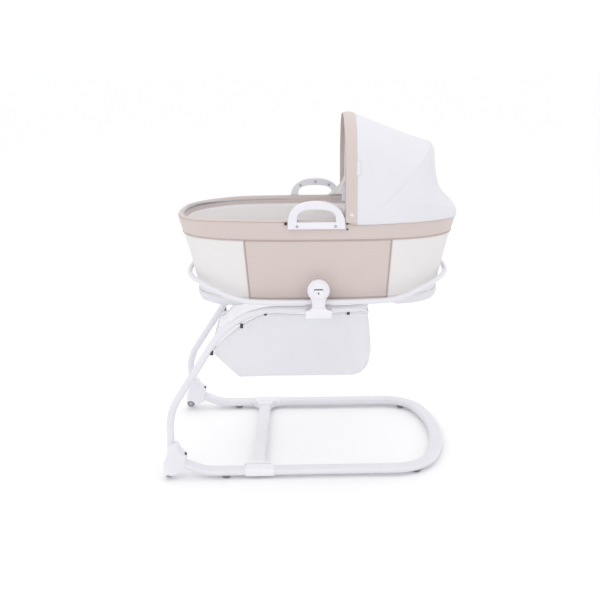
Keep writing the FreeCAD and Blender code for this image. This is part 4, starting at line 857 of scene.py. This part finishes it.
TOP = [(-332, 376), (-318, 384), (-300, 397), (-262, 431), (-228, 460), (-196, 476), (-159, 496), (-120, 493), (-40, 488), (40, 490), (87, 497), (120, 497), (148, 496)]


def top_z(x):
    return lerp(TOP, x)


NSIDE, NEND = 72, 46
per = []          # (bottom point, top point, kind)
for j in range(NSIDE):
    f = j / NSIDE
    xb, xt = -244 + 344 * f, -332 + 480 * f
    per.append(("near", xb, -FH, xt, -half_at_z(top_z(xt)), top_z(xt)))
for j in range(NEND):
    f = -1 + 2 * j / NEND
    per.append(("head", 100, FH * f, 148, half_at_z(496) * f, 496 - 5 * (1 - f * f)))
for j in range(NSIDE):
    f = 1 - j / NSIDE
    xb, xt = -244 + 344 * f, -332 + 480 * f
    per.append(("far", xb, FH, xt, half_at_z(top_z(xt)), top_z(xt)))
for j in range(NEND):
    f = 1 - 2 * j / NEND
    per.append(("foot", -244, FH * f, -332, half_at_z(376) * f, 376 - 14 * (1 - f * f)))
rows = []
for k in (0.02, 0.2, 0.4, 0.6, 0.78, 0.9, 0.965):
    row = []
    for kind, xb, yb, xt, yt, zt_ in per:
        x = -72 + (xb + 72) * k
        y = yb * k
        row.append(to_row(x, y, FZ - 4.0 * (1 - k * k) + 4.0 + fnoise(x, y, 0, 0.012) * 1.5 * (1 - k)))
    rows.append(row)
HEADP = [(0.0, 100, 278), (0.05, 118, 283), (0.12, 139, 297), (0.22, 154, 322), (0.34, 160, 350), (0.50, 159, 388), (0.75, 154, 440), (1.0, 148, 496)]
vl = [0.0, 0.012, 0.03, 0.055, 0.09, 0.13, 0.18, 0.24, 0.31, 0.38, 0.46, 0.54, 0.62, 0.70, 0.78, 0.86, 0.93, 0.97, 1.0]
for v in vl:
    row = []
    for i, (kind, xb, yb, xt, yt, zt_) in enumerate(per):
        r = 1 - (1 - min(1, v / 0.09)) ** 2
        if kind == "head":
            x = lerp([(q[0], q[1]) for q in HEADP], v)
            z = lerp([(q[0], q[2]) for q in HEADP], v)
            z = z + (zt_ - 496) * v
            y = yb + (yt - yb) * v
        else:
            x = xb + (xt - xb) * v
            z = FZ + (zt_ - FZ) * v
            y = yb + (yt - yb) * v
            # belly of the sides, and the end bulge carried round its corner
            belly = 6.0 * math.sin(math.pi * v) ** 0.8 if 0 < v < 1 else 0
            if kind in ("near", "far"):
                sg = -1 if kind == "near" else 1
                edge = smooth((x + 300) / 120.0)
                y += sg * belly * (0.35 + 0.65 * edge)
                tail = smooth((xb - 20) / 80.0)
                hx_ = lerp([(q[0], q[1]) for q in HEADP], v)
                x += (hx_ - (100 + 48 * v)) * tail
                z += 4.0 * (1 - r)
            else:
                x -= 0.4 * belly
                z += 4.0 * (1 - r)
        if kind == "head":
            z += 4.0 * (1 - r)
        # folds that hang from the studs and gather near the rounded end
        t = i / len(per)
        amp = 1.9 * math.sin(math.pi * min(1, v * 0.9 + 0.05))
        if kind in ("near", "far"):
            sg = -1 if kind == "near" else 1
            fold = math.sin((x + 0.25 * z) * 0.055 + 0.9 * math.sin(x * 0.02)) * (0.35 + 0.65 * smooth((x - 20) / 90)) + fnoise(x, z, 2, 0.013) * 1.4
            y += sg * amp * fold * 0.9
        elif kind == "head":
            x += amp * (math.sin(y * 0.085) * 0.8 + fnoise(y, z, 4, 0.015))
        else:
            x -= amp * fnoise(y, z, 9, 0.015)
        row.append(to_row(x, y, z))
    rows.append(row)
P = np.array(rows)
for _ in range(2):
    Q = P.copy()
    Q[1:-1] = 0.25 * (P[:-2] + P[2:]) + 0.25 * (np.roll(P[1:-1], 1, 1) + np.roll(P[1:-1], -1, 1))
    P = 0.5 * P + 0.5 * Q
o = grid_sheet("storage_basket_cloth", P, M["basket_mesh"], thick=0.001, closed_u=True, subd=0)
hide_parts("storage_basket")
piece(o, "stand")
pts = [tuple(p) for p in P[-1]]
piece(tube_mesh("basket_top_binding", pts, 0.0022, M["white_binding"], closed=True), "stand")
pts = [tuple(p) for p in P[8]]
piece(tube_mesh("basket_floor_seam", pts, 0.0011, M["white_binding"], closed=True, n=6), "stand")
# tabs from the binding up to the tube over each stud
for side, sg in (("near", -1), ("far", 1)):
    for n_, (x, z) in enumerate(((-318, 381), (-228, 461), (-157, 498.5), (88, 498))):
        w = 262 - 0.13 * (z - 30.0)
        zc = top_z(x)
        p0 = np.array([x, sg * (half_at_z(zc)), zc - 5])
        p1 = np.array([x - (2 if n_ < 2 else 0), sg * (w - 8.5), z - 2.5 if n_ > 1 else z + 1])
        rows = []
        for i in range(7):
            f = i / 6
            c = p0 * (1 - f) + p1 * f
            c[2] -= 2.0 * math.sin(math.pi * f)
            rows.append([to_row(c[0] + k, c[1], c[2] + (0.7 * k if n_ < 2 else 0)) for k in (-8 + 3 * f, -4, 0, 4, 8 - 3 * f)])
        P2 = np.array(rows)
        o = grid_sheet("basket_tab_%s_%d" % (side, n_ + 1), P2, M["white_binding"], thick=0.0012)
        piece(o, "stand")

# ------------------------------------------------------------------ small hard details
for side, sg in (("near", -1), ("far", 1)):
    # a dark sheet of painted shade in the recess above the lock slider, and the printed direction mark on it
    def quad_block(name, x0, x1, z0, z1, y0, y1, r=0.6):
        pts = []
        for cx, cz, a0 in ((x1 - r, z1 - r, 0), (x0 + r, z1 - r, 90), (x0 + r, z0 + r, 180), (x1 - r, z0 + r, 270)):
            for k in range(5):
                a = math.radians(a0 + 22.5 * k)
                pts.append((cx + r * math.cos(a), cz + r * math.sin(a)))
        v = [to_row(p[0], y0, p[1]) for p in pts] + [to_row(p[0], y1, p[1]) for p in pts]
        n = len(pts)
        f = [tuple(range(n)), tuple(reversed(range(n, 2 * n)))] + [(i, (i + 1) % n, n + (i + 1) % n, n + i) for i in range(n)]
        return make_obj(name, v, f, M["slot_shade_and_print"], smooth=False)
    # painted shade: a dark plate at the bottom of the slot
    o = quad_block("lock_recess_painted_shade_" + side, -12.2, 12.2, 583.4, 586.6, sg * 246.02, sg * 248.6)
    piece(o, "stand")
    v = [to_row(*q) for q in ((-2.5, sg * 248.85, 576.3), (2.5, sg * 248.85, 576.3), (0, sg * 248.85, 569.4), (-2.5, sg * 249.6, 576.3), (2.5, sg * 249.6, 576.3), (0, sg * 249.6, 569.4))]
    o = make_obj("lock_mark_" + side, v, [(0, 1, 2), (5, 4, 3), (0, 3, 4, 1), (1, 4, 5, 2), (2, 5, 3, 0)], M["slot_shade_and_print"], smooth=False)
    piece(o, "lock_slider_" + side)

# rounder shading on the carried-over parts
for n, o in frame["nodes"].items():
    if o.hide_render:
        continue
    me = o.data
    try:
        me.polygons.foreach_set("use_smooth", [True] * len(me.polygons))
        me.set_sharp_from_angle(angle=math.radians(32))
    except Exception:
        pass

# ------------------------------------------------------------------ floor, light and camera
floor = make_obj("floor", [(-30, -30, -0.0005), (30, -30, -0.0005), (30, 30, -0.0005), (-30, 30, -0.0005)], [(0, 1, 2, 3)],
                 hard("pale_floor", (0.955, 0.955, 0.96, 1), (0.965, 0.965, 0.97, 1), 0.7, grain=2.0, bump=0.0, spec=0.2), smooth=False)

world = bpy.data.worlds.new("studio")
scene.world = world
world.use_nodes = True
bg = world.node_tree.nodes["Background"]
bg.inputs[0].default_value = (1.0, 1.0, 1.0, 1)
bg.inputs[1].default_value = 1.04


def area_light(name, loc, target, size, power, col=(1, 1, 1)):
    l = bpy.data.lights.new(name, "AREA")
    l.shape = "SQUARE"
    l.size = size
    l.energy = power
    l.color = col
    o = bpy.data.objects.new(name, l)
    scene.collection.objects.link(o)
    o.location = loc
    o.rotation_euler = (Vector(target) - Vector(loc)).to_track_quat("-Z", "Y").to_euler()
    return o


area_light("key", (-1.6, -2.6, 3.0), (0, 0, 0.55), 2.2, 13)
area_light("fill", (2.6, -1.8, 1.8), (0, 0, 0.6), 2.6, 3)
area_light("top", (0.2, 0.8, 3.4), (0, 0, 0.5), 2.6, 9)

cam = bpy.data.cameras.new("camera")
cam.sensor_width = 36
cam.lens = 52.8
cam.shift_x = -0.068
cam.shift_y = -0.011
co = bpy.data.objects.new("camera", cam)
scene.collection.objects.link(co)
co.location = (0.0015, -2.6893, 1.2864)
co.rotation_euler = (math.pi / 2 - 0.2840, 0, -0.0355)
scene.camera = co
scene.view_settings.view_transform = "Standard"
scene.view_settings.look = "None"
scene.view_settings.exposure = 0.0

bpy.context.view_layer.update()
